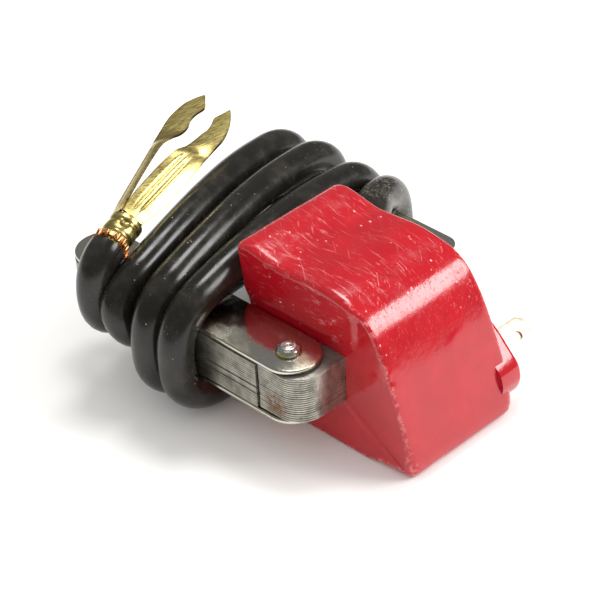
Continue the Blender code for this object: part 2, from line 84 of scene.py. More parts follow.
class Recipe:
    """A material's node tree, written from small steps. Lengths are in millimetres."""

    def __init__(self, name: str) -> None:
        """Start an empty material.

        Args:
            name: the material's name.
        """
        self.material = bpy.data.materials.new(name)
        self.material.use_nodes = True
        self.tree = self.material.node_tree
        self.shader = self.tree.nodes["Principled BSDF"]
        place = self.tree.nodes.new("ShaderNodeTexCoord").outputs["Object"]
        self.place = self.vector("SCALE", place, scale=1000.0)

    def node(self, kind: str, **settings: object) -> bpy.types.Node:
        """Add a node and set its properties.

        Args:
            kind: Blender's name for the node.
            settings: its properties.

        Returns:
            The new node.
        """
        made = self.tree.nodes.new(kind)
        for key, value in settings.items():
            setattr(made, key, value)
        return made

    def feed(self, socket: Socket, value: object) -> None:
        """Give a socket a value or a link.

        Args:
            socket: the socket.
            value: a number, a colour, or the socket to link from.
        """
        if isinstance(value, Socket):
            self.tree.links.new(value, socket)
        else:
            socket.default_value = value

    def vector(self, operation: str, a: object, b: object = None, scale: float = 1.0) -> Socket:
        """A vector sum, product or scaling.

        Args:
            operation: Blender's name for it.
            a: the first vector.
            b: the second vector, where there is one.
            scale: the factor of a scaling.

        Returns:
            The resulting vector.
        """
        made = self.node("ShaderNodeVectorMath", operation=operation)
        self.feed(made.inputs[0], a)
        if b is not None:
            self.feed(made.inputs[1], b)
        if operation == "SCALE":
            made.inputs["Scale"].default_value = scale
        return made.outputs[1 if operation == "DISTANCE" else 0]

    def sum(self, operation: str, a: object, b: object = 0.0) -> Socket:
        """Arithmetic on two numbers, as Blender names the operation.

        Args:
            operation: Blender's name for it.
            a: the first number.
            b: the second number.

        Returns:
            The result.
        """
        made = self.node("ShaderNodeMath", operation=operation)
        self.feed(made.inputs[0], a)
        self.feed(made.inputs[1], b)
        return made.outputs[0]

    def times(self, a: object, b: object) -> Socket:
        """The product of two numbers."""
        return self.sum("MULTIPLY", a, b)

    def most(self, a: object, b: object) -> Socket:
        """The larger of two numbers."""
        return self.sum("MAXIMUM", a, b)

    def turned(self, turn: tuple, stretch: tuple, shift: tuple = (0, 0, 0)) -> Socket:
        """The place, turned in degrees and then stretched along each axis.

        Args:
            turn: the angles about X, Y and Z.
            stretch: the factor along each axis after the turn.
            shift: a move in millimetres, which picks another part of a pattern.

        Returns:
            The new place.
        """
        spin = self.node("ShaderNodeMapping", vector_type="POINT")
        self.feed(spin.inputs["Vector"], self.place)
        spin.inputs["Rotation"].default_value = [math.radians(t) for t in turn]
        spin.inputs["Location"].default_value = shift
        return self.vector("MULTIPLY", spin.outputs[0], stretch)

    def noise(self, size: float, detail: float = 3.0, rough: float = 0.55, at: Socket = None) -> Socket:
        """Cloudy noise from 0 to 1.

        Args:
            size: the width of its patches in millimetres.
            detail: how many finer layers it has.
            rough: how strong those are.
            at: the place it is read at, if not the point itself.

        Returns:
            The noise.
        """
        made = self.node("ShaderNodeTexNoise", noise_dimensions="3D")
        self.feed(made.inputs["Vector"], self.place if at is None else at)
        made.inputs["Scale"].default_value = 1.0 / size
        made.inputs["Detail"].default_value = detail
        made.inputs["Roughness"].default_value = rough
        return made.outputs["Fac"]

    def cells(self, size: float, at: Socket = None) -> Socket:
        """Distance to the nearest of many scattered points, size millimetres apart.

        Args:
            size: how far apart the points are.
            at: the place it is read at, if not the point itself.

        Returns:
            The distance, as a share of the size.
        """
        made = self.node("ShaderNodeTexVoronoi", feature="F1")
        self.feed(made.inputs["Vector"], self.place if at is None else at)
        made.inputs["Scale"].default_value = 1.0 / size
        return made.outputs["Distance"]

    def band(self, value: Socket, low: float, high: float, start: float = 0.0, end: float = 1.0) -> Socket:
        """Map low..high to start..end, with a smooth step and no overshoot.

        Args:
            value: the number to map.
            low: where the step begins.
            high: where it ends.
            start: the result up to low.
            end: the result from high on.

        Returns:
            The mapped number.
        """
        made = self.node("ShaderNodeMapRange", interpolation_type="SMOOTHSTEP")
        self.feed(made.inputs["Value"], value)
        for key, number in (("From Min", low), ("From Max", high), ("To Min", start), ("To Max", end)):
            made.inputs[key].default_value = number
        return made.outputs["Result"]

    def blend(self, share: object, a: object, b: object) -> Socket:
        """A colour between a and b.

        Args:
            share: how much of b there is, from 0 to 1.
            a: the first colour.
            b: the second colour.

        Returns:
            The blended colour.
        """
        made = self.node("ShaderNodeMix", data_type="RGBA")
        self.feed(made.inputs["Factor"], share)
        for socket, value in ((made.inputs[6], a), (made.inputs[7], b)):
            self.feed(socket, value if isinstance(value, Socket) else (*value, 1.0))
        return made.outputs[2]

    def level(self, share: object, a: object, b: object) -> Socket:
        """A number between a and b.

        Args:
            share: how much of b there is, from 0 to 1.
            a: the first number.
            b: the second number.

        Returns:
            The blended number.
        """
        made = self.node("ShaderNodeMix", data_type="FLOAT")
        self.feed(made.inputs["Factor"], share)
        self.feed(made.inputs[2], a)
        self.feed(made.inputs[3], b)
        return made.outputs[0]

    def mask(self, name: str) -> Socket:
        """A number painted on the mesh's points."""
        return self.node("ShaderNodeAttribute", attribute_name=name).outputs["Fac"]

    def axis(self, name: str) -> Socket:
        """One coordinate of the place, in millimetres.

        Args:
            name: X, Y or Z.

        Returns:
            The coordinate.
        """
        split = self.node("ShaderNodeSeparateXYZ")
        self.feed(split.inputs[0], self.place)
        return split.outputs[name]

    def near(self, centre: tuple, radius: float, soft: float) -> Socket:
        """1 inside a ball round centre, fading to 0 over soft millimetres."""
        away = self.vector("DISTANCE", self.place, centre)
        return self.band(away, radius, radius + soft, 1.0, 0.0)

    def bumps(self, *layers: tuple) -> None:
        """Stack bump layers on the shader.

        Args:
            layers: pairs of a height from 0 to 1 and its depth in millimetres.
        """
        normal = None
        for height, depth in layers:
            made = self.node("ShaderNodeBump")
            made.inputs["Distance"].default_value = depth * MM
            made.inputs["Strength"].default_value = 1.0
            self.feed(made.inputs["Height"], height)
            if normal is not None:
                self.feed(made.inputs["Normal"], normal)
            normal = made.outputs[0]
        self.feed(self.shader.inputs["Normal"], normal)

    def set(self, **values: object) -> None:
        """Set the shader's sockets, with underscores for the spaces in their names."""
        for key, value in values.items():
            socket = self.shader.inputs[key.replace("_", " ")]
            if isinstance(value, tuple) and len(value) == 3 and socket.type == "RGBA":
                value = (*value, 1.0)
            self.feed(socket, value)


# ------------------------------------------------------------------ finishes


@dataclass(frozen=True)
class RedResin:
    """Cast red resin: glossy, with long scuffs on its top and shoulder, pits and a pink ragged flash."""

    colour: Colour = (0.46, 0.007, 0.015)
    deep: Colour = (0.30, 0.004, 0.010)
    scuff: Colour = (0.80, 0.24, 0.24)
    chalk: Colour = (0.90, 0.50, 0.48)

    def build(self) -> Material:
        """Make the material.

        Returns:
            The finished material.
        """
        r = Recipe("red_resin_cast")
        cloud = r.noise(9.0, 4.0, 0.6)
        base = r.blend(r.band(cloud, 0.35, 0.7), self.deep, self.colour)
        base = r.blend(0.55, base, self.colour)
        exposed = r.mask("exposed")
        patch = r.band(r.noise(6.0, 3.0, 0.6, r.turned((0, 0, 0), (0.5, 1.0, 1.0), (3, 8, 1))), 0.42, 0.66)
        fine = r.noise(1.0, 2.0, 0.5, r.turned((0, 0, 6), (0.10, 2.6, 1.3)))
        wide = r.noise(1.0, 3.0, 0.6, r.turned((0, 0, -9), (0.16, 1.3, 0.9), (40, 2, 7)))
        cross = r.noise(1.0, 1.0, 0.5, r.turned((0, 0, 38), (0.09, 2.2, 1.2), (5, 60, 3)))
        scratch = r.most(r.band(fine, 0.60, 0.72), r.band(wide, 0.60, 0.74, 0.0, 0.8))
        scratch = r.most(scratch, r.band(cross, 0.68, 0.76, 0.0, 0.7))
        scratch = r.times(scratch, r.times(exposed, r.level(patch, 0.35, 1.0)))
        nick = r.band(r.cells(1.5, r.turned((0, 0, 10), (0.6, 1.1, 1.1))), 0.09, 0.16, 1.0, 0.0)
        nick = r.times(nick, r.times(exposed, r.band(r.noise(5.0), 0.50, 0.62)))
        ragged = r.times(r.band(r.mask("edge"), 0.55, 1.0), r.band(r.noise(0.9, 3.0, 0.7), 0.46, 0.66))
        base = r.blend(r.times(scratch, 0.5), base, self.scuff)
        base = r.blend(r.times(ragged, 0.6), base, self.scuff)
        base = r.blend(nick, base, self.chalk)
        haze = r.band(r.noise(3.5, 5.0, 0.7), 0.4, 0.75)
        rough = r.level(r.times(haze, exposed), 0.13, 0.34)
        rough = r.level(r.most(scratch, ragged), rough, 0.55)
        r.set(Base_Color=base, Roughness=rough, IOR=1.52, Coat_Weight=0.25, Coat_Roughness=0.08)
        r.bumps(
            (r.noise(7.0, 2.0, 0.5), 0.05),
            (r.noise(1.6, 3.0, 0.6), 0.035),
            (r.sum("SUBTRACT", 1.0, r.most(scratch, nick)), 0.045),
            (r.band(r.cells(2.1), 0.05, 0.11), 0.05),
        )
        return r.material


@dataclass(frozen=True)
class SheetEdges:
    """The cut edges of stacked steel sheets: grey, streaked across, oily, with specks of rust, and painted shade
    darkening the seams between sheets.
    """

    colour: Colour = (0.34, 0.325, 0.28)
    bright: Colour = (0.54, 0.52, 0.45)
    dark: Colour = (0.045, 0.04, 0.034)
    rust: Colour = (0.22, 0.10, 0.035)

    def build(self) -> Material:
        """Make the material.

        Returns:
            The finished material.
        """
        r = Recipe("lamination_edges")
        tone = r.mask("tone")
        streak = r.noise(1.0, 3.0, 0.6, r.turned((0, 0, 0), (0.5, 0.5, 0.2)))
        base = r.blend(r.band(streak, 0.3, 0.7), self.colour, self.bright)
        base = r.blend(r.level(tone, 0.0, 0.16), base, self.dark)
        grime = r.band(r.noise(2.4, 5.0, 0.7), 0.46, 0.72)
        base = r.blend(r.times(grime, 0.35), base, self.dark)
        # painted shade: each sheet's top and bottom lip is darkened and made less metallic, as shade in the seams
        # between sheets
        groove = r.mask("groove")
        base = r.blend(r.times(groove, 0.6), base, self.dark)
        speck = r.band(r.noise(1.3, 4.0, 0.7, r.turned((0, 0, 0), (1, 1, 1), (11, 3, 5))), 0.60, 0.70)
        stain = r.times(r.near((17.4, -25.2, 13.2), 1.0, 2.6), r.band(r.noise(0.9, 4.0, 0.7), 0.35, 0.6))
        base = r.blend(r.most(r.times(speck, 0.45), stain), base, self.rust)
        rough = r.level(r.most(grime, stain), 0.30, 0.62)
        metal = r.level(r.most(stain, r.times(groove, 0.6)), 0.95, 0.25)
        r.set(Base_Color=base, Roughness=rough, Metallic=metal)
        r.bumps((streak, 0.02), (r.noise(0.5, 3.0, 0.6), 0.012))
        return r.material


@dataclass(frozen=True)
class TinnedSheet:
    """Bright tinned sheet: mirror-like with soft smears, dull specks and fine wiping marks."""

    colour: Colour = (0.66, 0.64, 0.58)
    warm: Colour = (0.60, 0.56, 0.40)
    speck: Colour = (0.20, 0.19, 0.16)

    def build(self) -> Material:
        """Make the material.

        Returns:
            The finished material.
        """
        r = Recipe("tinned_sheet_bright")
        smear = r.noise(5.0, 5.0, 0.65, r.turned((0, 0, 20), (0.4, 1.0, 1.0)))
        wipe = r.noise(1.0, 2.0, 0.5, r.turned((0, 0, 28), (0.2, 4.0, 1.0)))
        dust = r.band(r.cells(0.9), 0.06, 0.14, 1.0, 0.0)
        dust = r.times(dust, r.band(r.noise(3.0, 3.0), 0.46, 0.62))
        base = r.blend(r.band(smear, 0.35, 0.75), self.colour, self.warm)
        base = r.blend(r.times(dust, 0.6), base, self.speck)
        rough = r.level(r.band(smear, 0.4, 0.7), 0.13, 0.30)
        rough = r.level(dust, rough, 0.6)
        r.set(Base_Color=base, Roughness=rough, Metallic=1.0)
        r.bumps((r.noise(4.0, 2.0), 0.06), (wipe, 0.006), (r.noise(0.7, 3.0, 0.7), 0.008))
        return r.material


@dataclass(frozen=True)
class PlatedRivet:
    """Zinc-plated rivet: satin, with a swirl from the riveting tool and a yellow tint at its foot."""

    centre: tuple
    colour: Colour = (0.66, 0.64, 0.58)
    tint: Colour = (0.52, 0.50, 0.22)

    def build(self) -> Material:
        """Make the material.

        Returns:
            The finished material.
        """
        r = Recipe("rivet_plated")
        away = r.vector("DISTANCE", r.vector("MULTIPLY", r.place, (1, 1, 0)), (*self.centre, 0.0))
        rings = r.sum("SINE", r.sum("ADD", r.times(away, 9.0), r.times(r.noise(1.5), 4.0)))
        rings = r.band(rings, -1.0, 1.0)
        foot = r.band(away, 1.7, 2.5)
        patch = r.band(r.noise(1.2, 3.0, 0.6), 0.35, 0.6)
        base = r.blend(r.times(foot, patch), self.colour, self.tint)
        r.set(Base_Color=base, Roughness=r.level(patch, 0.20, 0.36), Metallic=1.0)
        r.bumps((rings, 0.03), (r.noise(0.5, 3.0), 0.02))
        return r.material


@dataclass(frozen=True)
class LeadJacket:
    """Black rubber jacket: glossy and slightly wavy, with lint, dust specks and a dusty bend."""

    colour: Colour = (0.011, 0.0095, 0.0075)
    dust: Colour = (0.38, 0.35, 0.27)

    def build(self) -> Material:
        """Make the material.

        Returns:
            The finished material.
        """
        r = Recipe("lead_jacket_black")
        film = r.band(r.noise(4.0, 4.0, 0.6), 0.4, 0.75)
        base = r.blend(r.times(film, 0.04), self.colour, self.dust)
        specks = r.band(r.cells(2.6), 0.035, 0.07, 1.0, 0.0)
        specks = r.times(specks, r.band(r.noise(6.0), 0.42, 0.58))
        lint = r.noise(1.0, 1.0, 0.5, r.turned((20, 35, 60), (0.25, 5.0, 5.0)))
        lint = r.times(r.band(lint, 0.74, 0.78), r.band(r.noise(5.0), 0.5, 0.6))
        grain = r.noise(0.55, 5.0, 0.75)
        powder = r.times(r.mask("dusty"), r.band(grain, 0.46, 0.68))
        powder = r.times(powder, r.band(r.noise(3.2, 3.0, 0.6), 0.38, 0.62, 0.25, 1.0))
        light = r.most(r.most(specks, lint), r.times(powder, 0.62))
        base = r.blend(light, base, self.dust)
        rough = r.level(film, 0.20, 0.30)
        rough = r.level(light, rough, 0.75)
        r.set(Base_Color=base, Roughness=rough, IOR=1.5, Specular_IOR_Level=0.45)
        r.bumps((r.noise(11.0, 1.0), 0.05), (r.noise(0.8, 3.0, 0.6), 0.004), (grain, 0.006))
        return r.material


@dataclass(frozen=True)
class StampedBrass:
    """Brushed brass sheet, darker and greener where it is sheared, and darker in its creases, crimps and seam as
    painted shade.
    """

    colour: Colour = (0.58, 0.45, 0.13)
    pale: Colour = (0.74, 0.62, 0.26)
    dark: Colour = (0.16, 0.11, 0.03)

    def build(self) -> Material:
        """Make the material.

        Returns:
            The finished material.
        """
        r = Recipe("brass_stamped")
        brush = r.noise(1.0, 4.0, 0.7, r.turned((0, 0, 17.5), (3.6, 0.35, 3.6)))
        cross = r.noise(0.45, 3.0, 0.7)
        base = r.blend(r.band(brush, 0.3, 0.7), self.colour, self.pale)
        base = r.blend(r.times(r.band(cross, 0.5, 0.75), 0.35), base, self.dark)
        # the edge mask holds sheared edges, which are darker in fact, and creases, crimps and the barrel's seam, where
        # the darkening is painted shade
        edge = r.times(r.mask("edge"), r.band(r.noise(0.8, 3.0), 0.25, 0.6, 0.5, 1.0))
        base = r.blend(r.times(edge, 0.8), base, self.dark)
        rough = r.level(r.band(brush, 0.3, 0.7), 0.24, 0.40)
        r.set(Base_Color=base, Roughness=rough, Metallic=1.0, Anisotropic=0.3)
        r.bumps((brush, 0.010), (r.noise(2.2, 2.0), 0.03))
        return r.material


@dataclass(frozen=True)
class PlainMetal:
    """A wire or blade: one metal with soft smears and a little tarnish."""

    name: str
    colour: Colour
    tarnish: Colour
    rough: tuple = (0.22, 0.42)

    def build(self) -> Material:
        """Make the material.

        Returns:
            The finished material.
        """
        r = Recipe(self.name)
        cloud = r.noise(1.6, 4.0, 0.65)
        base = r.blend(r.band(cloud, 0.45, 0.75), self.colour, self.tarnish)
        base = r.blend(r.times(r.mask("edge"), 0.8), base, self.tarnish)
        r.set(Base_Color=base, Roughness=r.level(cloud, *self.rough), Metallic=1.0)
        r.bumps((r.noise(0.6, 3.0, 0.6), 0.01), (cloud, 0.02))
        return r.material


@dataclass(frozen=True)
class Winding:
    """Close-wound enamelled wire: fine ridges round the bar, each a turn of wire, with painted shade darkening the
    grooves between turns.
    """

    wire: float
    colour: Colour = (0.48, 0.16, 0.05)
    dark: Colour = (0.13, 0.035, 0.012)

    def build(self) -> Material:
        """Make the material.

        Returns:
            The finished material.
        """
        r = Recipe("enamelled_wire")
        turns = r.sum("SINE", r.times(r.axis("Y"), 2 * math.pi / self.wire))
        turns = r.band(turns, -1.0, 1.0)
        # painted shade: the colour runs dark in the grooves between turns of wire
        base = r.blend(turns, self.dark, self.colour)
        r.set(Base_Color=base, Roughness=r.level(r.noise(2.0), 0.2, 0.4), Metallic=0.7)
        r.bumps((turns, 0.05), (r.noise(1.0), 0.02))
        return r.material


@dataclass(frozen=True)
class DullSheet:
    """Nylon, varnished paper or fibre: a matt skin with cloudy colour and a fine grain."""

    name: str
    colour: Colour
    shade: Colour
    rough: float = 0.55

    def build(self) -> Material:
        """Make the material.

        Returns:
            The finished material.
        """
        r = Recipe(self.name)
        cloud = r.noise(3.0, 5.0, 0.65)
        grain = r.noise(0.4, 3.0, 0.7)
        base = r.blend(r.band(cloud, 0.35, 0.7), self.colour, self.shade)
        r.set(Base_Color=base, Roughness=r.level(grain, self.rough, self.rough + 0.2))
        r.bumps((grain, 0.01), (cloud, 0.03))
        return r.material


# ------------------------------------------------------------------ shapes


def smoothstep(value: np.ndarray, low: float, high: float) -> np.ndarray:
    """0 below low, 1 above high, and 3t^2 - 2t^3 between them."""
    t = np.clip((value - low) / (high - low), 0.0, 1.0)
    return t * t * (3.0 - 2.0 * t)


def ripple(points: np.ndarray, width: float, seed: int, waves: int = 7) -> np.ndarray:
    """Smooth unevenness from -1 to 1: the mean of plane sine waves in seeded directions.

    Args:
        points: places in millimetres, with x, y and z along the last axis.
        width: the usual distance from crest to crest, in millimetres.
        seed: which unevenness it is.
        waves: how many sine waves are added.

    Returns:
        One number for each point.
    """
    random = np.random.default_rng(seed)
    directions = random.normal(size=(waves, 3))
    directions /= np.linalg.norm(directions, axis=1)[:, None]
    directions *= (2 * math.pi / width) * random.uniform(0.6, 1.5, (waves, 1))
    phases = random.uniform(0, 2 * math.pi, waves)
    return np.sin(points @ directions.T + phases).mean(axis=-1) * 1.6


def catmull(points: np.ndarray, steps: int, closed: bool = False) -> np.ndarray:
    """A smooth curve through points.

    Between two points b and c with neighbours a and d it is the cubic
    0.5 (2b + (c-a) t + (2a-5b+4c-d) t^2 + (3b-a-3c+d) t^3), with t from 0 to 1.

    Args:
        points: the points, one a row.
        steps: how many places are read between two points.
        closed: whether the last point joins the first.

    Returns:
        The places along the curve.
    """
    line = np.asarray(points, float)
    if closed:
        padded = np.concatenate([line[-1:], line, line[:2]])
    else:
        padded = np.concatenate([2 * line[:1] - line[1:2], line, 2 * line[-1:] - line[-2:-1]])
    a, b, c, d = padded[:-3, None], padded[1:-2, None], padded[2:-1, None], padded[3:, None]
    t = np.linspace(0, 1, steps, endpoint=False)[None, :, None]
    curve = 0.5 * (2 * b + (c - a) * t + (2 * a - 5 * b + 4 * c - d) * t**2 + (3 * b - a - 3 * c + d) * t**3)
    curve = curve.reshape(-1, line.shape[1])
    return curve if closed else np.concatenate([curve, line[-1:]])


def spaced(points: np.ndarray, step: float, closed: bool = False) -> np.ndarray:
    """The same line with its points an even step apart, by linear reading along its length.

    Args:
        points: the line.
        step: the distance wanted between points.
        closed: whether the last point joins the first.

    Returns:
        The points of the new line.
    """
    line = np.concatenate([points, points[:1]]) if closed else points
    along = np.concatenate([[0.0], np.cumsum(np.linalg.norm(np.diff(line, axis=0), axis=1))])
    count = max(3, round(along[-1] / step))
    at = np.linspace(0, along[-1], count + (0 if closed else 1), endpoint=not closed)
    return np.stack([np.interp(at, along, column) for column in line.T], axis=1)


def eased(points: np.ndarray, rounds: int, held: int = 2) -> np.ndarray:
    """Soften a line: each point moves to (before + 2 itself + after) / 4, the ends held.

    Args:
        points: the line.
        rounds: how often it is done.
        held: how many points stay at each end.

    Returns:
        The softer line.
    """
    line = points.copy()
    for _ in range(rounds):
        before, after = line[held - 1 : -held - 1], line[held + 1 : len(line) - held + 1]
        line[held:-held] = (before + 2 * line[held:-held] + after) / 4
    return line


def outline_normals(outline: np.ndarray) -> np.ndarray:
    """Unit vectors out of a closed anticlockwise outline, square to the chord across each point.

    Args:
        outline: the closed outline, anticlockwise.

    Returns:
        One unit vector a point.
    """
    chord = np.roll(outline, -1, axis=0) - np.roll(outline, 1, axis=0)
    chord /= np.linalg.norm(chord, axis=1)[:, None] + 1e-12
    return np.stack([chord[:, 1], -chord[:, 0]], axis=1)


def anticlockwise(outline: np.ndarray) -> np.ndarray:
    """The outline with its points in anticlockwise order, by the sign of its area.

    Args:
        outline: a closed outline, either way round.

    Returns:
        The outline, turned round if it ran clockwise.
    """
    after = np.roll(outline, -1, axis=0)
    area = np.sum(outline[:, 0] * after[:, 1] - after[:, 0] * outline[:, 1])
    return outline if area > 0 else outline[::-1]


def arc(centre: tuple, radius: float, start: float, end: float, count: int) -> np.ndarray:
    """Points on a circle from one angle to another, in degrees."""
    angle = np.radians(np.linspace(start, end, count))
    return np.stack([centre[0] + radius * np.cos(angle), centre[1] + radius * np.sin(angle)], axis=1)


def circle(centre: tuple, radius: float, count: int) -> np.ndarray:
    """Points round a whole circle."""
    return arc(centre, radius, 0, 360, count + 1)[:-1]


def make_mesh(name: str, points: np.ndarray, faces: list, smooth: bool = True) -> Thing:
    """Put points in millimetres and faces into a new object at the origin.

    Args:
        name: the piece's name.
        points: the points, one a row.
        faces: tuples of point numbers.
        smooth: whether it is shaded smooth, apart from its sharp edges.

    Returns:
        The new object.
    """
    mesh = bpy.data.meshes.new(name)
    mesh.from_pydata((np.asarray(points, float) * MM).tolist(), [], faces)
    mesh.validate()
    if smooth:
        mesh.shade_smooth()
        mesh.set_sharp_from_angle(angle=math.radians(SHARP_DEGREES))
    made = bpy.data.objects.new(name, mesh)
    bpy.context.scene.collection.objects.link(made)
    return made


def grid_faces(rows: int, columns: int, first: int = 0, closed: bool = True) -> list:
    """Four-sided faces over a grid of points whose columns may join up into rings.

    Args:
        rows: how many rings there are.
        columns: how many points each has.
        first: the number of the grid's first point.
        closed: whether the last column joins the first.

    Returns:
        The faces.
    """
    i, j = np.meshgrid(np.arange(rows - 1), np.arange(columns if closed else columns - 1), indexing="ij")
    k = (j + 1) % columns
    quads = np.stack([i * columns + j, i * columns + k, (i + 1) * columns + k, (i + 1) * columns + j], axis=-1)
    return (quads.reshape(-1, 4) + first).tolist()


def loft(name: str, rings: np.ndarray, outward: bool = True) -> Thing:
    """A closed skin over stacked rings, with a point in the middle of each end.

    Args:
        name: the piece's name.
        rings: an array of rings, points and coordinates in millimetres.
        outward: False where the rings run the other way, so that the faces are turned over.

    Returns:
        The new object.
    """
    rows, columns = rings.shape[:2]
    points = np.concatenate([rings.reshape(-1, 3), rings[:1].mean(axis=1), rings[-1:].mean(axis=1)])
    faces = grid_faces(rows, columns)
    start, end = rows * columns, rows * columns + 1
    last = (rows - 1) * columns
    faces += [(start, (j + 1) % columns, j) for j in range(columns)]
    faces += [(end, last + j, last + (j + 1) % columns) for j in range(columns)]
    if not outward:
        faces = [face[::-1] for face in faces]
    return make_mesh(name, points, faces)


def paint(piece: Thing, name: str, values: np.ndarray) -> None:
    """Store one number a point on the mesh, for its material to read.

    Args:
        piece: the object.
        name: what the material calls the numbers.
        values: the numbers; points past the last of them get 0.
    """
    layer = piece.data.attributes.new(name, "FLOAT", "POINT")
    padded = np.zeros(len(piece.data.vertices), np.float32)
    flat = np.asarray(values, np.float32).ravel()
    padded[: len(flat)] = flat
    layer.data.foreach_set("value", padded)


def inside(points: np.ndarray, outline: np.ndarray) -> np.ndarray:
    """Whether each point lies in an outline: a ray to the right crosses it an odd number of times.

    Args:
        points: the points to test.
        outline: the closed outline.

    Returns:
        True for each point that is inside.
    """
    a, b = outline, np.roll(outline, -1, axis=0)
    x, y = points[:, :1], points[:, 1:2]
    crosses = (a[None, :, 1] > y) != (b[None, :, 1] > y)
    rise = np.where(np.abs(b[:, 1] - a[:, 1]) < 1e-12, 1e-12, b[:, 1] - a[:, 1])
    at = a[None, :, 0] + (y - a[None, :, 1]) * (b[:, 0] - a[:, 0])[None] / rise[None]
    return (np.sum(crosses & (x < at), axis=1) % 2).astype(bool)


@dataclass
class Sheet:
    """A flat sheet with holes, whose edges follow a small profile carried round each outline.

    The profile is a row of (set back from the edge, height) pairs from the bottom to the top.
    """

    outline: np.ndarray
    holes: list = field(default_factory=list)

    def build(self, profile: np.ndarray, first: int = 0) -> tuple[np.ndarray, list, np.ndarray]:
        """Work out the sheet's points and faces.

        Args:
            profile: the edge's profile, from the bottom face to the top face.
            first: the number of its first point, where it joins other sheets.

        Returns:
            The points, the faces, and how far up the profile each point is, from 0 to 1.
        """
        points, faces, steps = [], [], []
        count = first
        bottoms, tops = [], []
        loops = [anticlockwise(self.outline)] + [anticlockwise(hole)[::-1] for hole in self.holes]
        for loop in loops:
            normal = outline_normals(loop)
            size = len(loop)
            for row, (back, height) in enumerate(profile):
                ring = loop - normal * back
                points.append(np.column_stack([ring, np.full(size, height)]))
                steps.append(np.full(size, row / (len(profile) - 1)))
            faces += grid_faces(len(profile), size, count)
            bottoms.append((count, loop - normal * profile[0][0]))
            tops.append((count + size * (len(profile) - 1), loop - normal * profile[-1][0]))
            count += size * len(profile)
        for caps, upward in ((bottoms, False), (tops, True)):
            faces += self.cap(caps, upward)
        return np.concatenate(points), faces, np.concatenate(steps)

    @staticmethod
    def cap(loops: list, upward: bool) -> list:
        """Triangles over a flat outline with holes, kept where their middle is in the metal.

        Args:
            loops: pairs of the first point's number and the outline, the outer one first.
            upward: whether the faces look up.

        Returns:
            The faces.
        """
        flat = np.concatenate([loop for _, loop in loops])
        numbers = np.concatenate([start + np.arange(len(loop)) for start, loop in loops])
        edges, at = [], 0
        for _, loop in loops:
            size = len(loop)
            edges += [(at + i, at + (i + 1) % size) for i in range(size)]
            at += size
        places, _, triangles, origin, *_ = delaunay_2d_cdt([Vector(p) for p in flat], edges, [], 0, 1e-7)
        places = np.array([tuple(p) for p in places])
        triangles = np.array(triangles)
        middle = places[triangles].mean(axis=1)
        keep = inside(middle, loops[0][1])
        for _, hole in loops[1:]:
            keep &= ~inside(middle, hole)
        number = numbers[[found[0] for found in origin]]
        kept = number[triangles[keep]]
        corner = places[triangles[keep]]
        turn = np.cross(corner[:, 1] - corner[:, 0], corner[:, 2] - corner[:, 0]) > 0
        kept = np.where((turn == upward)[:, None], kept, kept[:, ::-1])
        return kept.tolist()


def rolled_edge(low: float, high: float, radius: float, count: int = 4) -> np.ndarray:
    """A sheet's edge profile: a quarter circle at the bottom, a straight, and one at the top.

    Args:
        low: the height of the bottom face.
        high: the height of the top face.
        radius: the radius of the quarter circles.
        count: how many points each has.

    Returns:
        The profile from the bottom to the top.
    """
    turn = np.linspace(0, math.pi / 2, count)
    bottom = np.column_stack([radius * (1 - np.sin(turn)), low + radius * (1 - np.cos(turn))])
    top = np.column_stack([radius * (1 - np.cos(turn)), high - radius * (1 - np.sin(turn))])
    return np.concatenate([bottom, top])


def lathe(name: str, profile: np.ndarray, centre: tuple, count: int = 48) -> Thing:
    """A solid turned about the vertical through centre.

    Args:
        name: the piece's name.
        profile: (radius, height) pairs from the top to the bottom.
        centre: where the axis is, in x and y.
        count: how many points go round.

    Returns:
        The new object.
    """
    angle = np.linspace(0, 2 * math.pi, count, endpoint=False)
    radius, height = profile[:, 0, None], profile[:, 1, None]
    rings = np.stack(
        [
            centre[0] + radius * np.cos(angle),
            centre[1] + radius * np.sin(angle),
            height + 0 * angle,
        ],
        axis=-1,
    )
    return loft(name, rings, outward=False)


def carried(path: np.ndarray, radius: np.ndarray, sides: int, up: tuple = (0.0, 0.0, 1.0)) -> np.ndarray:
    """Rings of a round section carried along a path without twisting.

    Each ring lies square to the path. Its first direction is the one before it, less what of it
    runs along the path, made one long again.

    Args:
        path: the places along the middle.
        radius: the section's radius at each place.
        sides: how many points go round.
        up: a direction that the first ring starts from.

    Returns:
        An array of rings, points and coordinates.
    """
    along = np.gradient(path, axis=0)
    along /= np.linalg.norm(along, axis=1)[:, None]
    first = np.array(up, float)
    across = np.zeros_like(path)
    for i, direction in enumerate(along):
        first = first - direction * (first @ direction)
        first /= np.linalg.norm(first)
        across[i] = first
    other = np.cross(along, across)
    angle = np.linspace(0, 2 * math.pi, sides, endpoint=False)[None, :, None]
    radius = np.broadcast_to(radius, len(path))[:, None, None]
    return path[:, None] + radius * (across[:, None] * np.cos(angle) + other[:, None] * np.sin(angle))


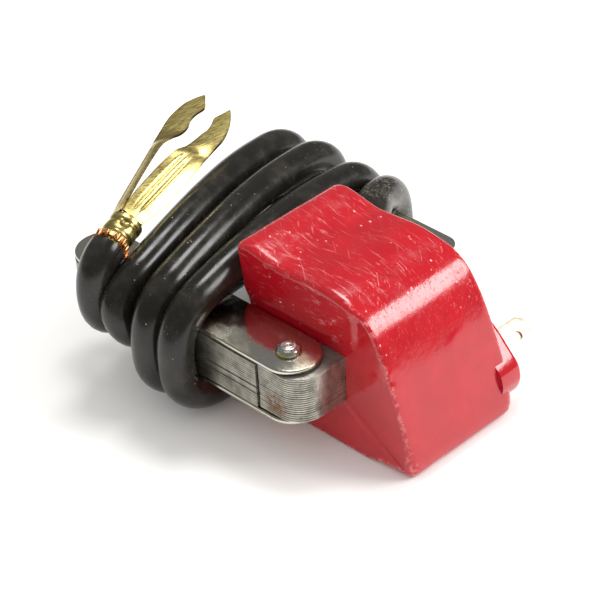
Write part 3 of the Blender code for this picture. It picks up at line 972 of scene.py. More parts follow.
def sheet_strip(name: str, surface: np.ndarray, thickness: float, dark: np.ndarray) -> Thing:
    """A strip of sheet metal round a middle surface.

    Each row of the surface runs across the strip. Its upper and lower skins lie half a thickness
    off it, along the cross product of its two directions, and meet round every edge.

    Args:
        name: the piece's name.
        surface: an array of rows, points and coordinates in millimetres.
        thickness: the sheet's thickness.
        dark: painted shade at each point, for the creases, apart from the edges.

    Returns:
        The new object.
    """
    down = np.gradient(surface, axis=0)
    over = np.gradient(surface, axis=1)
    normal = np.cross(over, down)
    normal /= np.linalg.norm(normal, axis=2)[:, :, None] + 1e-12
    upper, lower = surface + normal * thickness / 2, surface - normal * thickness / 2
    rings = np.concatenate([upper, lower[:, ::-1]], axis=1)
    piece = loft(name, rings)
    columns = surface.shape[1]
    side = np.abs(np.linspace(-1, 1, columns))
    # the strip's side edges are sheared edges; dark adds painted shade in creases
    edge = np.maximum(smoothstep(side, 0.86, 1.0)[None], dark)
    paint(piece, "edge", np.concatenate([edge, edge[:, ::-1]], axis=1))
    return piece


# ------------------------------------------------------------------ the pieces


class Piece:
    """What every sub-assembly does with a finished mesh."""

    @staticmethod
    def dress(
        piece: Thing,
        finish: Material,
        slot: str,
        nodes: tuple = (),
        body: Body = Body.COIL,
    ) -> Thing:
        """Give a piece its material, its body and the nodes it stands for.

        Args:
            piece: the new object.
            finish: its material.
            slot: not used.
            nodes: the CAD nodes it replaces.
            body: the body it moves with.

        Returns:
            The same object.
        """
        piece.data.materials.clear()
        piece.data.materials.append(finish)
        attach(piece, body.value)
        if nodes:
            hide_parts(*nodes)
        LOG.info("%s: %d points", piece.name, len(piece.data.vertices))
        return piece


@dataclass
class Moulding(Piece):
    """The red coil moulding: a prism of a hollow-backed outline with soft edges and a terminal boss."""

    half_width: float = 13.0
    draft: float = 0.9
    top: float = 33.4
    edge_radius: float = 0.7
    crown_radius: float = 0.5
    foot_radius: float = 1.6
    middle: tuple = (17.0, 15.0)
    around: int = 380
    pad_height: float = 0.5
    boss_edge: float = 1.1

    def outline(self) -> np.ndarray:
        """The outline in x and z, anticlockwise seen from the near side, read evenly.

        Returns:
            The points of the outline.
        """
        control = [
            (4.0, 0.0), (1.4, 0.02), (0.45, 0.5), (0.22, 2.2), (0.0, 9.0), (-0.6, 18.0), (-1.0, 21.6), (-1.9, 24.9),
            (-2.8, 28.4), (-3.5, 31.2), (-3.45, 32.2), (-2.4, 32.9), (-0.9, 33.32), (0.6, 33.3), (2.6, 32.95),
            (5.0, 32.45), (7.6, 32.12), (11.0, 32.3), (15.0, 32.62), (18.5, 32.72), (21.6, 32.4), (24.4, 31.75),
            (26.9, 30.75), (28.8, 29.5), (30.3, 27.9), (31.6, 25.9), (33.3, 22.4), (35.3, 17.5), (37.1, 12.0),
            (38.5, 7.3), (39.35, 4.0), (39.55, 2.4), (39.3, 1.1), (38.4, 0.2), (36.6, 0.0), (30.0, 0.0), (18.0, 0.0),
        ]
        line = catmull(np.array(control), 14, closed=True)
        line[:, 1] = np.clip(line[:, 1], 0.0, None)
        return anticlockwise(self.even(line))

    def even(self, line: np.ndarray) -> np.ndarray:
        """The line with the same number of points everywhere round it."""
        length = np.sum(np.linalg.norm(np.diff(np.concatenate([line, line[:1]]), axis=0), axis=1))
        return spaced(line, length / self.around, closed=True)

    def rings(self) -> tuple[np.ndarray, np.ndarray, np.ndarray]:
        """Rings from the middle of the near face, over the near edge, across, and into the far face.

        A face's rings are the outline shrunk towards the middle by a share s. An edge's rings go
        round a quarter circle of the edge radius, and the ones between them widen with the draft.

        Returns:
            The rings, and for each point how near an edge it is and how exposed to wear.
        """
        outline = self.outline()
        normal = outline_normals(outline)
        middle = np.array(self.middle)
        high = smoothstep(outline[:, 1], 24.0, 31.0) * (1 - smoothstep(outline[:, 0], 22.0, 27.5))
        low = (1 - smoothstep(outline[:, 1], 0.0, 9.0)) * smoothstep(outline[:, 0], 28.0, 34.0)
        radius = self.edge_radius + self.crown_radius * high + self.foot_radius * low
        shrunk = outline - normal * radius[:, None]
        share = np.concatenate([np.linspace(0.02, 0.9, 46), np.linspace(0.915, 0.985, 7)])
        turn = np.linspace(0, math.pi / 2, 6)
        stack, across, edge = [], [], []
        for s in share:
            stack.append(middle + (shrunk - middle) * s)
            across.append(0.0 * radius)
            edge.append(0.55 * float(smoothstep(np.array(s), 0.93, 1.0)))
        for t in turn:
            stack.append(outline - normal * (radius * (1 - math.sin(t)))[:, None])
            across.append(radius * (1 - math.cos(t)))
            edge.append(0.7 + 0.3 * math.sin(2 * t))
        run = np.linspace(0, 1, 26)[1:-1]
        near = np.array(stack)
        depth = np.array(across)
        edges = np.array(edge)
        half = self.half_width + self.draft * (1 - np.clip(near[:, :, 1], 0, None) / self.top)
        first = np.stack([near[:, :, 0], depth - half, near[:, :, 1]], axis=-1)
        last = first[::-1] * np.array([1, -1, 1])
        pad = self.pad(first) * (1 - smoothstep(depth, 0.0, radius[None]))
        first[:, :, 1] -= pad * self.pad_height
        start, end = first[-1], last[0]
        between = start[None] + (end - start)[None] * run[:, None, None]
        side = np.minimum(run, 1 - run)
        rings = np.concatenate([first, between, last])
        near_edge = np.concatenate([edges, 0.6 * (1 - smoothstep(side, 0.02, 0.06)), edges[::-1]])
        near_edge = near_edge[:, None] * (1 - 0.35 * high[None])
        rows = len(first)
        on_top = smoothstep(rings[:, :, 2], 20.0, 29.0)
        flat = np.zeros(len(rings))
        flat[rows - 3 : len(rings) - rows + 3] = 1.0
        exposed = on_top * (0.18 + 0.82 * flat[:, None])
        exposed[:rows] = np.maximum(exposed[:rows], 0.95 * self.pad(first))
        return self.worn(rings), near_edge, exposed

    @staticmethod
    def pad(points: np.ndarray) -> np.ndarray:
        """1 on the raised pad along the near face's top, fading out at a round end by the shoulder.

        Args:
            points: places on the near face.

        Returns:
            One number a point, from 0 to 1.
        """
        x, z = points[:, :, 0], points[:, :, 2]
        end = np.hypot(np.clip(x - 22.4, 0, None), np.clip(25.8 - z, 0, None) * (x > 22.4))
        return smoothstep(z, 20.6, 24.2) * smoothstep(x, -3.6, -2.2) * (1 - smoothstep(end, 2.4, 5.0))

    def worn(self, rings: np.ndarray) -> np.ndarray:
        """Add the unevenness of a hand casting and the slight step over the near face's low corner.

        The step follows the distance d from a line that falls across the face to its low corner.

        Args:
            rings: the smooth rings.

        Returns:
            The rings with their unevenness.
        """
        out = rings.copy()
        x, y, z = np.moveaxis(rings, -1, 0)
        d = 0.61 * (x - 23.4) + 0.79 * (z - 9.6)
        low = smoothstep(d, -0.3, 0.5) * (1 - smoothstep(z, 8.0, 20.0)) * smoothstep(-y, 12.0, 13.4)
        wide = ripple(rings, 24.0, 3) * 0.10 + ripple(rings, 7.0, 4) * 0.02
        centre = np.array([self.middle[0], 0.0, self.middle[1]])
        outward = rings - centre
        outward /= np.linalg.norm(outward, axis=2)[:, :, None]
        lift = wide * smoothstep(z, 0.3, 3.0)
        out -= outward * (np.abs(lift) * 0.6 + 0.05 * (lift < 0))[:, :, None]
        out[:, :, 1] += 0.10 * low
        return out

    def build(self) -> None:
        """Make the moulding and its boss, and dress them."""
        finish = RedResin().build()
        rings, edge, exposed = self.rings()
        shell = loft("coil_moulding", rings, outward=False)
        paint(shell, "edge", edge)
        paint(shell, "exposed", exposed)
        self.dress(shell, finish, "red_resin", ("coil_body",))
        boss = self.boss()
        paint(boss, "edge", np.zeros(1))
        self.dress(boss, finish, "red_resin")

    def boss(self) -> Thing:
        """The boss round the blade: a soft block that leans out past the steep face.

        Returns:
            The new object.
        """
        control = [
            (29.5, 3.0), (33.0, 1.9), (36.2, 2.2), (38.2, 3.7), (39.2, 6.2), (39.0, 8.4), (38.3, 9.9),
            (36.2, 12.2), (33.6, 14.8), (31.6, 16.0), (30.0, 14.0), (29.2, 9.0),
        ]
        outline = anticlockwise(catmull(np.array(control), 8, closed=True))
        normal = outline_normals(outline)
        middle = outline.mean(axis=0)
        turn = np.linspace(0, math.pi / 2, 7)
        stack = [(middle + (outline - middle) * 0.3, 10.8), (outline, 11.0), (outline, 15.4)]
        soft = self.boss_edge
        stack += [(outline - normal * soft * (1 - math.cos(t)), 15.4 + soft * math.sin(t)) for t in turn[1:]]
        stack += [(middle + (outline - normal * soft - middle) * s, 16.5) for s in (0.7, 0.35)]
        rings = np.array([np.column_stack([flat[:, 0], np.full(len(flat), y), flat[:, 1]]) for flat, y in stack])
        return loft("terminal_boss", rings, outward=False)


@dataclass
class Core(Piece):
    """The laminated core: a bar through the coil, two legs, cheek plates and rivets."""

    half_width: float = 25.5
    bottom: float = 10.7
    top: float = 20.2
    pitch: float = 0.475
    leg_width: float = 11.4
    tip_x: float = -38.6
    hole_x: float = -33.3
    lug_x: float = -13.0
    lug_bottom: float = 17.2
    butt_x: float = 13.1
    bar_x: tuple = (13.4, 23.7)
    bar_y: tuple = (-25.1, 21.6)
    plate: float = 0.9
    near_rivet: tuple = (16.0, -19.8)
    far_rivet: tuple = (10.6, 19.8)
    lug_hole: float = 2.6
    gap: float = 0.3
    seam: float = 0.035
    open_seams: tuple = (6, 9)
    plate_edge: float = 0.32

    @property
    def axis_y(self) -> float:
        """How far a leg's middle line is from the core's."""
        return self.half_width - self.leg_width / 2

    def leg_outline(self, side: Side, tip: float) -> np.ndarray:
        """A leg from above, from where it butts on the bar to its round tip.

        Args:
            side: which leg.
            tip: the x of its tip.

        Returns:
            The closed outline.
        """
        s = side.value
        radius = self.leg_width / 2
        outer, inner = s * self.half_width, s * (self.half_width - self.leg_width)
        end = arc((tip + radius, s * self.axis_y), radius, s * 90, s * 270, 25)
        line = np.concatenate([[(self.butt_x, inner), (self.butt_x, outer)], end])
        return self.fine(line, 1.2)

    def bar_outline(self) -> np.ndarray:
        """The bar from above, with its two outer corners round.

        Returns:
            The closed outline.
        """
        (low_x, high_x), (low_y, high_y), radius = self.bar_x, self.bar_y, 5.0
        line = np.concatenate(
            [
                [(low_x, high_y), (low_x, low_y)],
                arc((high_x - radius, low_y + radius), radius, -90, 0, 15),
                arc((high_x - radius, high_y - radius), radius, 0, 90, 15),
            ]
        )
        return self.fine(line, 1.2)

    @staticmethod
    def fine(line: np.ndarray, step: float) -> np.ndarray:
        """The closed line with more points on its long straights, its corners kept.

        Args:
            line: the closed line.
            step: the largest distance wanted between points.

        Returns:
            The line with its points added.
        """
        parts = []
        for a, b in zip(line, np.roll(line, -1, axis=0)):
            count = max(1, int(np.linalg.norm(b - a) / step))
            share = np.linspace(0, 1, count, endpoint=False)[:, None]
            parts.append(a + (b - a) * share)
        return np.concatenate(parts)

    def stack(self, name: str, outline: object, holes: object, seed: int) -> Thing:
        """A stack of sheets, each with round edges and set a hair in or out of line.

        Args:
            name: the piece's name.
            outline: a function from a height to the outline there.
            holes: a function from a height to the holes there.
            seed: which small offsets it has.

        Returns:
            The new object.
        """
        random = np.random.default_rng(seed)
        count = int(round((self.top - self.bottom) / self.pitch))
        points, faces, tones, seam_shades = [], [], [], []
        total = 0
        for i in range(count):
            low = self.bottom + i * self.pitch
            high = low + self.pitch - self.seam
            gap = 0.15 if i in self.open_seams and "leg" in name else 0.0
            lower = [(0.16 + 2 * gap, low), (0.045 + 2 * gap, low + 0.06 + gap), (0.0, low + 0.08 + 1.2 * gap)]
            profile = np.array(lower + [(0.0, high - 0.12), (0.04, high - 0.05), (0.16, high)])
            flat = anticlockwise(outline(low))
            shift = random.normal(0, 0.025, 2)
            inward = abs(random.normal(0, 0.03))
            flat = flat - outline_normals(flat) * inward + shift * 0.5
            sheet = Sheet(flat, holes(low))
            p, f, step = sheet.build(profile, total)
            total += len(p)
            points.append(p)
            faces += f
            tones.append(np.full(len(p), random.uniform(0, 1)))
            # painted shade mask: 1 at each sheet's top and bottom lip, for the shade in the seams between sheets
            seam_shades.append(1 - smoothstep(np.minimum(step, 1 - step), 0.02, 0.22))
        piece = make_mesh(name, np.concatenate(points), faces)
        paint(piece, "tone", np.concatenate(tones))
        paint(piece, "groove", np.concatenate(seam_shades))
        return piece

    def build(self) -> None:
        """Make the laminations, the plates and the rivets."""
        edges = SheetEdges().build()
        tinned = TinnedSheet().build()
        for side in Side:
            self.leg(side, edges)
            self.cheek(side, True, tinned)
            self.cheek(side, False, tinned)
        bar = self.stack("core_bar_sheets", lambda z: self.bar_outline(), lambda z: [], 7)
        self.dress(bar, edges, "lamination_steel", ("core_bar",))
        self.rivets()

    def leg(self, side: Side, finish: Material) -> None:
        """One leg, whose lower sheets stop short of the thin lug.

        Args:
            side: which leg.
            finish: its material.
        """
        hole = [circle((self.hole_x, side.value * self.axis_y), self.lug_hole, 32)]
        full = self.leg_outline(side, self.tip_x)
        short = self.leg_outline(side, self.lug_x)
        name = f"core_leg_{side.label}"
        piece = self.stack(
            name + "_sheets",
            lambda z: full if z > self.lug_bottom - 0.2 else short,
            lambda z: hole if z > self.lug_bottom - 0.2 else [],
            11 + side.value,
        )
        self.dress(piece, finish, "lamination_steel", (name,))

    def cheek(self, side: Side, upper: bool, finish: Material) -> None:
        """A bright cheek plate with rolled edges, over or under a leg.

        Args:
            side: which leg it is on.
            upper: whether it lies over the leg.
            finish: its material.
        """
        s, radius = side.value, self.leg_width / 2
        start = self.tip_x if upper else self.lug_x
        tip = arc((start + radius, s * self.axis_y), radius, s * 90, s * 270, 25)
        if side is Side.NEAR:
            end_x = self.near_rivet[0] + radius + 0.5
            end = arc((end_x - radius, -self.axis_y), radius, 90, -90, 25)
            outline = np.concatenate([end, tip])
        else:
            inner = self.half_width - self.leg_width
            corner = arc((13.5, self.half_width - 3.0), 3.0, 0, 90, 9)
            outline = np.concatenate([[(16.5, inner)], corner, tip])
        outline = self.fine(outline, 1.5)
        hole = circle((self.hole_x, s * self.axis_y), self.lug_hole, 32)
        low = self.top + self.gap if upper else self.bottom - self.gap - self.plate
        profile = rolled_edge(low, low + self.plate, self.plate_edge, 5)
        points, faces, _ = Sheet(outline, [hole] if upper else []).build(profile)
        level = "top" if upper else "bottom"
        plate = make_mesh(f"cheek_plate_{level}_{side.label}", points, faces)
        self.dress(plate, finish, "tinned_steel", (f"cheek_{level}_{side.label}",))

    def rivets(self) -> None:
        """The two domed corner rivets."""
        high = self.top + self.gap + self.plate
        low = self.bottom - self.gap - self.plate
        t = np.linspace(0, math.pi / 2, 12)
        dome = np.column_stack([2.45 * np.sin(t) ** 0.8, high + 0.05 + 1.45 * np.cos(t) ** 0.9])
        dome[:, 1] -= 0.22 * np.exp(-((dome[:, 0] / 0.5) ** 2))
        foot = np.array([(2.4, high + 0.03), (1.5, high), (1.5, low)])
        under = np.array([(2.3, low - 0.02), (2.35, low - 0.3), (2.0, low - 0.8), (1.2, low - 1.05), (0.4, low - 1.1)])
        profile = np.concatenate([dome[1:], foot, under])
        for name, centre in (("corner_rivet_near", self.near_rivet), ("corner_rivet_far", self.far_rivet)):
            piece = lathe(name + "_head", profile, centre)
            self.dress(piece, PlatedRivet(centre).build(), "rivet_steel", (name,))


@dataclass
class Lead(Piece):
    """The high-tension lead: one length of round cable from the moulding, wound round the legs."""

    diameter: float = 7.0
    outlet: tuple = (3.4, 13.9, 26.0)
    near_x: tuple = (-3.9, -10.9, -18.1)
    far_x: tuple = (-4.2, -10.8, -21.4, -31.2)
    tops: tuple = (25.2, 25.2, 23.9)
    lows: tuple = (4.2, 4.2, 11.5)
    drops: tuple = ((8.5, 8.5), (8.5, 6.0), (6.0, 6.0))
    spread: tuple = (0.0, 0.0, 1.4)
    step: float = 1.2
    sides: int = 40
    half_y: float = 29.1
    lead_in: tuple = ((1.8, 17.0, 26.0), (-0.6, 20.0, 25.8), (-2.0, 23.5, 25.1), (-3.3, 27.0, 23.0), (-4.2, 28.9, 18.5))
    tail: tuple = (
        (-32.1, 28.7, 16.2), (-33.4, 26.6, 13.4), (-33.9, 22.8, 12.2), (-33.1, 18.0, 12.0), (-31.1, 10.0, 12.0),
        (-29.1, -2.0, 12.0), (-27.0, -14.0, 12.0), (-25.6, -22.0, 12.1), (-25.2, -26.4, 13.0), (-24.9, -28.9, 15.6),
        (-24.8, -29.6, 19.4), (-24.8, -29.3, 23.0), (-24.7, -28.5, 25.6),
    )

    def bend(self, y: float, z: float, radii: tuple, start: float, end: float) -> np.ndarray:
        """Seven places round an ellipse in y and z, from one angle to another."""
        angle = np.radians(np.linspace(start, end, 7))
        return np.column_stack([y + radii[0] * np.cos(angle), z + radii[1] * np.sin(angle)])

    def over(self, turn: int) -> np.ndarray:
        """A run from the near side over both legs to the far side, in a long low arch.

        Args:
            turn: which run it is, from 0.

        Returns:
            The places along it.
        """
        a, ry, top = self.half_y, 8.0, self.tops[turn]
        near_drop, far_drop = self.drops[turn]
        crest = np.array([(-12.0, top + 1.5), (0.0, top + 2.0), (12.0, top + 1.3)])
        first = self.bend(-a + ry, top - near_drop, (ry, near_drop), 180, 95)
        last = self.bend(a - ry, top - far_drop, (ry, far_drop), 85, 0)
        start = self.near_x[turn] - self.spread[turn]
        return self.slanted(np.concatenate([first, crest, last]), start, self.far_x[turn + 1])

    def under(self, start: float, end: float, low: float) -> np.ndarray:
        """A run from the far side under both legs to the near side.

        Args:
            start: its x on the far side.
            end: its x on the near side.
            low: the height of its middle.

        Returns:
            The places along it.
        """
        a, (ry, rz) = self.half_y, (9.0, 8.0 if low < 5 else 6.0)
        floor = np.array([(12.0, low), (0.0, low), (-12.0, low)])
        first = self.bend(a - ry, low + rz, (ry, rz), -8, -85)
        last = self.bend(-a + ry, low + rz, (ry, rz), -95, -172)
        return self.slanted(np.concatenate([first, floor, last]), start, end)

    @staticmethod
    def slanted(flat: np.ndarray, start: float, end: float) -> np.ndarray:
        """Give a run its x, which goes from start to end mostly along its straight part.

        Args:
            flat: the run in y and z.
            start: its first x.
            end: its last x.

        Returns:
            The run in x, y and z.
        """
        along = np.concatenate([[0.0], np.cumsum(np.linalg.norm(np.diff(flat, axis=0), axis=1))])
        share = np.clip((along / along[-1] - 0.12) / 0.76, 0, 1)
        share = 0.5 * share + 0.5 * share**2 * (3 - 2 * share)
        return np.column_stack([start + (end - start) * share, flat])

    def route(self, clip: "PlugClip") -> np.ndarray:
        """The middle line from the outlet to the clip's barrel, with a place each 1.2 mm.

        Args:
            clip: the plug clip it ends in.

        Returns:
            The places in millimetres.
        """
        runs = [np.array([self.outlet, *self.lead_in])]
        runs.append(self.under(self.far_x[0], self.near_x[0], self.lows[0]))
        for turn in range(3):
            runs.append(self.over(turn))
            if turn < 2:
                runs.append(self.under(self.far_x[turn + 1], self.near_x[turn + 1], self.lows[turn + 1]))
        runs.append(np.array(self.tail))
        runs.append(np.array([clip.at(along, 0.0, 0.0) for along in (-2.4, -1.4, -0.5)]))
        line = eased(catmull(np.concatenate(runs), 6), 4)
        return eased(spaced(line, self.step), 3, held=1)

    def build(self, clip: "PlugClip") -> None:
        """Args:
            clip: the plug clip, whose barrel the lead ends in.
        """
        path = self.route(clip)
        along = np.concatenate([[0.0], np.cumsum(np.linalg.norm(np.diff(path, axis=0), axis=1))])
        uneven = 1 + 0.006 * np.sin(along / 9.0) + 0.004 * np.sin(along / 3.7 + 1.0)
        radius = self.diameter / 2 * uneven
        rings = carried(path, radius, self.sides)
        share, reach = np.array([0.35, 0.75, 0.95]), np.array([0.6, 0.4, 0.15])
        away = [path[0] - path[1], path[-1] - path[-2]]
        away = [step / np.linalg.norm(step) * reach[:, None, None] for step in away]
        first = path[0] + (rings[0] - path[0]) * share[:, None, None] + away[0]
        last = (path[-1] + (rings[-1] - path[-1]) * share[:, None, None] + away[1])[::-1]
        rings = np.concatenate([first, rings, last])
        piece = loft("ht_lead", rings)
        dusty = (1 - smoothstep(along, 24.0, 34.0)) * smoothstep(along, 2.0, 6.0)
        dusty = np.concatenate([np.zeros(3), dusty, np.zeros(3)])
        paint(piece, "dusty", np.repeat(dusty[:, None], rings.shape[1], axis=1))
        nodes = ("ht_lead_turns", "ht_lead_tail", "ht_lead_exit")
        self.dress(piece, LeadJacket().build(), "lead_rubber", nodes)


@dataclass
class PlugClip(Piece):
    """The brass plug clip: a crimped barrel, two sprung arms with hooked jaws, and bare strands."""

    base: tuple = (-25.5, -24.6, 27.6)
    heading: tuple = (-0.2997, 0.9431, 0.1440)
    thickness: float = 0.5
    barrel_radius: float = 3.3
    barrel_length: float = 6.6
    squash: float = 0.92
    strand_count: int = 34
    pieces: list = field(default_factory=list)

    def axes(self) -> tuple[np.ndarray, np.ndarray, np.ndarray]:
        """Unit vectors along the clip, across it to the right, and up from it.

        Returns:
            The three unit vectors.
        """
        along = np.array(self.heading) / np.linalg.norm(self.heading)
        right = np.cross(along, (0.0, 0.0, 1.0))
        right /= np.linalg.norm(right)
        return along, right, np.cross(right, along)

    def at(self, along: float, across: float, up: float) -> np.ndarray:
        """A place from the clip's own frame, in millimetres."""
        u, v, n = self.axes()
        return np.array(self.base) + along * u + across * v + up * n

    def place(self, local: np.ndarray) -> np.ndarray:
        """Many places at once: the last axis holds along, across and up."""
        return np.array(self.base) + local @ np.array(self.axes())

    def build(self) -> None:
        """Make every piece of the clip."""
        brass = StampedBrass().build()
        barrel = self.dress(self.barrel(), brass, "brass", ("clip_barrel",))
        left = self.arm("left", self.left_edges())
        right = self.arm("right", self.right_edges())
        self.dress(left, brass, "brass", ("clip_arm_left",), Body.LEFT_ARM)
        self.dress(right, brass, "brass", ("clip_arm_right",), Body.RIGHT_ARM)
        copper = PlainMetal("copper_strand", (0.66, 0.26, 0.10), (0.28, 0.08, 0.03)).build()
        strands = self.dress(self.strands(), copper, "copper", ("copper_strands",))
        self.pieces = [barrel, left, right, strands]

    def barrel(self) -> Thing:
        """A rolled barrel, waisted where it is crimped, as an outer and an inner skin.

        Returns:
            The new object.
        """
        along = np.linspace(0.2, self.barrel_length, 40)
        angle = np.linspace(0, 2 * math.pi, 72, endpoint=False)
        s, a = np.meshgrid(along, angle, indexing="ij")
        crimp = 0.28 * np.exp(-(((s - 2.2) / 0.5) ** 2)) + 0.22 * np.exp(-(((s - 5.0) / 0.45) ** 2))
        seam = 0.5 * np.exp(-(((a - 2.7) / 0.10) ** 2))
        dimple = np.exp(-((s - 4.4) ** 2 + ((a - 1.1) * 3.3) ** 2) / 0.55)
        radius = self.barrel_radius - crimp * (1 + 0.3 * np.cos(3 * a)) - seam - 0.45 * dimple
        lower_edge = 0.25 * np.sin(5 * a) + 0.15 * np.sin(11 * a + 1)
        s = s + lower_edge * (1 - smoothstep(s, 0.2, 1.6))
        outer = np.stack([s, radius * np.cos(a), self.squash * radius * np.sin(a)], axis=-1)
        small = radius - self.thickness
        inner = np.stack([s, small * np.cos(a), self.squash * small * np.sin(a)], axis=-1)
        rings = np.concatenate([outer, inner[::-1]])
        points = self.place(rings).reshape(-1, 3)
        rows, columns = rings.shape[:2]
        faces = grid_faces(rows, columns)
        last = (rows - 1) * columns
        faces += [(last + j, last + (j + 1) % columns, (j + 1) % columns, j) for j in range(columns)]
        piece = make_mesh("clip_barrel_rolled", points, [f[::-1] for f in faces])
        edge = np.exp(-((s - 0.2) / 0.25) ** 2) + np.exp(-((s - self.barrel_length) / 0.3) ** 2)
        # the rims are darker as sheared edges; the seam, the crimps and the sloping walls of the dimple are darkened as
        # painted shade in those recesses
        dark = np.clip(edge + 2.0 * seam + 1.0 * crimp + 3.0 * dimple * (1 - dimple), 0, 1)
        paint(piece, "edge", np.concatenate([dark, dark[::-1]]))
        return piece

    @staticmethod
    def right_edges() -> np.ndarray:
        """Stations of the right arm: along, then across and up of its inner and its outer edge.

        Returns:
            The stations, one a row.
        """
        return np.array(
            [
                (7.0, -0.5, 3.1, 3.1, 0.2), (12.0, -0.8, 3.1, 3.9, -0.6), (20.0, -0.3, 2.9, 4.7, -0.8),
                (25.5, 0.4, 2.5, 5.4, -0.2), (28.3, 1.2, 1.6, 5.9, 0.4), (31.2, 1.6, 1.0, 6.6, 1.0),
                (33.0, 2.0, 1.0, 6.7, 1.0), (34.6, 2.5, 1.0, 6.5, 1.0), (36.4, 2.4, 1.0, 6.1, 1.0),
                (38.0, 2.1, 1.0, 5.6, 1.0), (39.6, 2.9, 1.0, 4.9, 1.0), (41.2, 3.7, 1.0, 4.0, 1.0),
            ]
        )

    @staticmethod
    def left_edges() -> np.ndarray:
        """Stations of the left arm, the same way.

        Returns:
            The stations, one a row.
        """
        return np.array(
            [
                (7.0, -3.6, 0.0, -0.7, 3.0), (12.0, -4.3, 0.0, -1.3, 3.1), (20.0, -5.1, 0.2, -2.3, 3.0),
                (26.5, -5.7, 0.6, -3.0, 2.5), (29.6, -5.9, 1.0, -2.7, 1.7), (32.0, -6.2, 1.0, -1.9, 1.0),
                (34.2, -6.4, 1.0, -1.6, 1.0), (36.2, -6.4, 1.0, -2.1, 1.0), (38.2, -6.1, 1.0, -1.9, 1.0),
                (40.2, -5.6, 1.0, -1.2, 1.0), (42.0, -4.6, 1.0, -2.0, 1.0), (43.7, -3.2, 1.0, -2.9, 1.0),
            ]
        )

    def arm(self, label: str, edges: np.ndarray) -> Thing:
        """One arm as a strip between two edges, with a pressed bead along its shank.

        Args:
            label: left or right.
            edges: the stations of its two edges.

        Returns:
            The new object.
        """
        fine = catmull(edges, 7)
        share = np.linspace(0, 1, 33)
        inner, outer = fine[:, None, 1:3], fine[:, None, 3:5]
        across = inner + (outer - inner) * share[None, :, None]
        along = np.repeat(fine[:, :1], len(share), axis=1)
        shank = smoothstep(along, 8.5, 10.0) * (1 - smoothstep(along, 24.0, 26.5))
        arch = 0.35 * np.sin(math.pi * share)[None] * smoothstep(along, 7, 9) * (1 - smoothstep(along, 26, 29))
        lines = np.exp(-(((share - 0.30) / 0.045) ** 2)) + np.exp(-(((share - 0.52) / 0.045) ** 2))
        bead = -0.22 * shank * lines[None]
        rise = arch + bead
        width = outer - inner
        length = np.linalg.norm(width, axis=2, keepdims=True) + 1e-9
        normal = np.concatenate([-width[:, :, 1:], width[:, :, :1]], axis=2) / length
        across = across + normal * rise[:, :, None]
        surface = self.place(np.concatenate([along[:, :, None], across], axis=2))
        # painted shade: the pressed bead's two grooves are darkened through the edge mask
        return sheet_strip(f"clip_arm_{label}_pressed", surface[:, ::-1], self.thickness, shank * lines[None, ::-1])

    def strands(self) -> Thing:
        """Fine copper wires that curl back round the barrel's lower rim, in one mesh.

        Returns:
            The new object.
        """
        random = np.random.default_rng(21)
        points, faces, total = [], [], 0
        for i in range(self.strand_count):
            angle = 2 * math.pi * i / self.strand_count + random.uniform(-0.09, 0.09)
            reach = random.uniform(-0.4, 1.2)
            radius = np.array([2.2, 2.9, 3.3, 3.55 + 0.15 * reach, 3.7])
            along = np.array([2.4, 0.3, -0.3 - 0.3 * reach, 0.1 - 0.5 * reach, 1.1 - 0.6 * reach])
            turn = angle + np.linspace(0, random.uniform(-0.2, 0.2), 5)
            path = np.stack([along, radius * np.cos(turn), self.squash * radius * np.sin(turn)], axis=1)
            path = catmull(self.place(path), 4)
            rings = carried(path, np.array([0.2]), 7)
            p = rings.reshape(-1, 3)
            rows, columns = rings.shape[:2]
            ring = total + np.arange(columns)
            faces += grid_faces(rows, columns, total) + [ring[::-1].tolist(), (ring + (rows - 1) * columns).tolist()]
            points.append(p)
            total += len(p)
        return make_mesh("copper_strands_splayed", np.concatenate(points), faces)


@dataclass
class BladeTerminal(Piece):
    """The push-on blade: a thin tab with a hole, cut corners and soft edges, tilted in its boss."""

    width: float = 6.3
    thickness: float = 0.8
    centre: tuple = (34.4, 11.2)
    tilt: float = -38.0
    run: tuple = (9.2, 23.6)
    hole: float = 0.85

    def build(self) -> None:
        """Make the blade flat, then tilt it about Y: x and z turn by the tilt round the centre."""
        half, (start, end) = self.width / 2, self.run
        outline = np.array(
            [
                (-half, start), (half, start), (half, end - 1.3),
                (half - 1.0, end), (-half + 1.0, end), (-half, end - 1.3),
            ]
        )
        hole = circle((0.0, end - 3.2), self.hole, 28)
        profile = rolled_edge(-self.thickness / 2, self.thickness / 2, 0.14, 3)
        points, faces, step = Sheet(Core.fine(outline, 0.8), [hole]).build(profile)
        turn = math.radians(self.tilt)
        x, y, z = points.T
        points = np.column_stack(
            [
                self.centre[0] + x * math.cos(turn) - z * math.sin(turn),
                y,
                self.centre[1] + x * math.sin(turn) + z * math.cos(turn),
            ]
        )
        piece = make_mesh("blade_terminal", points, faces)
        paint(piece, "edge", (np.abs(step - 0.5) < 0.45).astype(float))
        finish = PlainMetal("blade_tinned_brass", (0.82, 0.78, 0.64), (0.62, 0.50, 0.24), (0.3, 0.46)).build()
        self.dress(piece, finish, "spade_metal", ("spade_terminal",))


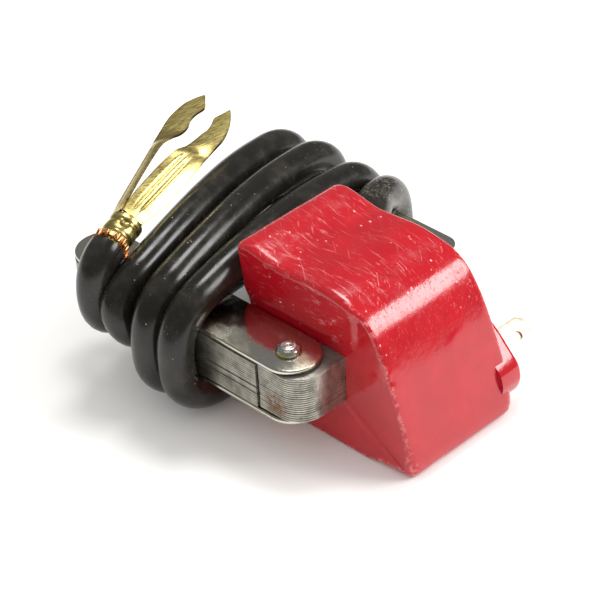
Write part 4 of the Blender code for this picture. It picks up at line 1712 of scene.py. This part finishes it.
@dataclass
class HiddenPieces:
    """The CAD nodes that stay as they are, inside the moulding or under the turns."""

    def build(self) -> None:
        """Give each of them a worked finish."""
        wire = Winding(0.45).build()
        fine = Winding(0.22).build()
        nylon = DullSheet("bobbin_nylon_natural", (0.62, 0.58, 0.47), (0.48, 0.44, 0.34)).build()
        wrap = DullSheet("varnished_wrap", (0.50, 0.34, 0.13), (0.36, 0.22, 0.07), 0.35).build()
        fibre = DullSheet("vulcanised_fibre", (0.24, 0.09, 0.04), (0.15, 0.05, 0.02), 0.6).build()
        copper = PlainMetal("copper_wire", (0.80, 0.38, 0.18), (0.42, 0.15, 0.06)).build()
        brass = PlainMetal("pin_brass", (0.74, 0.58, 0.24), (0.40, 0.30, 0.10)).build()
        steel = PlainMetal("rivet_plain_steel", (0.55, 0.54, 0.50), (0.30, 0.29, 0.26)).build()
        rubber = DullSheet("sleeve_rubber", (0.02, 0.019, 0.018), (0.05, 0.047, 0.043), 0.4).build()
        given = {
            "primary_winding": wire, "secondary_winding": fine, "bobbin": nylon, "interlayer_sleeve": wrap,
            "secondary_wrap": wrap, "core_wedge": fibre, "primary_lead": copper, "secondary_lead": copper,
            "ht_contact_pin": brass, "leg_rivet_near": steel, "leg_rivet_far": steel, "ht_sleeve": rubber,
        }
        for name, finish in given.items():
            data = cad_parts[name].data
            data.materials.clear()
            data.materials.append(finish)


# ------------------------------------------------------------------ studio


@dataclass
class Studio:
    """A white floor, soft lights, and the camera."""

    azimuth: float = 46.8
    elevation: float = 35.7
    roll: float = -3.4
    distance: float = 500.0
    lens: float = 160.5
    target: tuple = (-1.9, 0.5, 13.0)
    ambient: float = 0.93
    mirrored: float = 0.21

    def build(self) -> None:
        """Set up the floor, the lights and the camera."""
        self.floor()
        self.sky()
        self.light("key", (400.0, 385.0, 400.0), (320.0, 280.0), 3.2)
        self.light("fill", (-110.0, 150.0, 470.0), (150.0, 150.0), 0.9)
        self.camera()

    def floor(self) -> None:
        """A large pale floor, level with the bottom of the part."""
        size = 3000.0
        corners = np.array([(-size, -size, -0.02), (size, -size, -0.02), (size, size, -0.02), (-size, size, -0.02)])
        floor = make_mesh("floor", corners, [(0, 1, 2, 3)], smooth=False)
        r = Recipe("floor_white")
        tone = r.noise(400.0, 2.0)
        r.set(Base_Color=r.blend(tone, (0.935, 0.93, 0.915), (0.955, 0.95, 0.935)), Roughness=0.6)
        floor.data.materials.append(r.material)

    def sky(self) -> None:
        """An even white surround, dimmer where it is seen in a shiny surface."""
        world = bpy.data.worlds.new("surround")
        bpy.context.scene.world = world
        world.use_nodes = True
        tree = world.node_tree
        back = tree.nodes["Background"]
        back.inputs["Color"].default_value = (1.0, 0.99, 0.975, 1.0)
        path = tree.nodes.new("ShaderNodeLightPath")
        level = tree.nodes.new("ShaderNodeMapRange")
        level.inputs["To Min"].default_value = self.ambient
        level.inputs["To Max"].default_value = self.mirrored
        tree.links.new(path.outputs["Is Glossy Ray"], level.inputs["Value"])
        tree.links.new(level.outputs["Result"], back.inputs["Strength"])
        bpy.context.scene.view_settings.view_transform = "Standard"

    def light(self, name: str, place: tuple, size: tuple, power: float) -> None:
        """A soft box that looks at the part.

        Args:
            name: its name.
            place: where it is, in millimetres.
            size: its width and height in millimetres.
            power: its power in watts.
        """
        data = bpy.data.lights.new(name, "AREA")
        data.shape = "RECTANGLE"
        data.size, data.size_y = size[0] * MM, size[1] * MM
        data.energy = power
        lamp = bpy.data.objects.new(name, data)
        lamp.location = Vector(place) * MM
        aim = Vector(self.target) - Vector(place)
        lamp.rotation_euler = aim.to_track_quat("-Z", "Y").to_euler()
        bpy.context.scene.collection.objects.link(lamp)

    def camera(self) -> None:
        """The camera, looking at the target from its azimuth and elevation, rolled a little."""
        azimuth, elevation, roll = (math.radians(a) for a in (self.azimuth, self.elevation, self.roll))
        forward = Vector(
            (
                -math.sin(azimuth) * math.cos(elevation),
                math.cos(azimuth) * math.cos(elevation),
                -math.sin(elevation),
            )
        )
        right = Vector((math.cos(azimuth), math.sin(azimuth), 0.0))
        up = right.cross(forward)
        across = right * math.cos(roll) + up * math.sin(roll)
        above = up * math.cos(roll) - right * math.sin(roll)
        data = bpy.data.cameras.new("camera")
        data.lens = self.lens
        data.sensor_width = 36.0
        data.clip_start, data.clip_end = 0.01, 20.0
        camera = bpy.data.objects.new("camera", data)
        bpy.context.scene.collection.objects.link(camera)
        turn = np.array([across, above, -forward]).T
        matrix = np.eye(4)
        matrix[:3, :3] = turn
        matrix[:3, 3] = np.array((Vector(self.target) - forward * self.distance) * MM)
        camera.matrix_world = Matrix(matrix.tolist())
        bpy.context.scene.camera = camera


def main() -> None:
    """Build the studio and every sub-assembly in order."""
    logging.basicConfig(level=logging.INFO, format="%(message)s")
    Studio().build()
    clip = PlugClip()
    clip.build()
    Lead().build(clip)
    Moulding().build()
    Core().build()
    BladeTerminal().build()
    HiddenPieces().build()


if __name__ == "__main__":
    main()
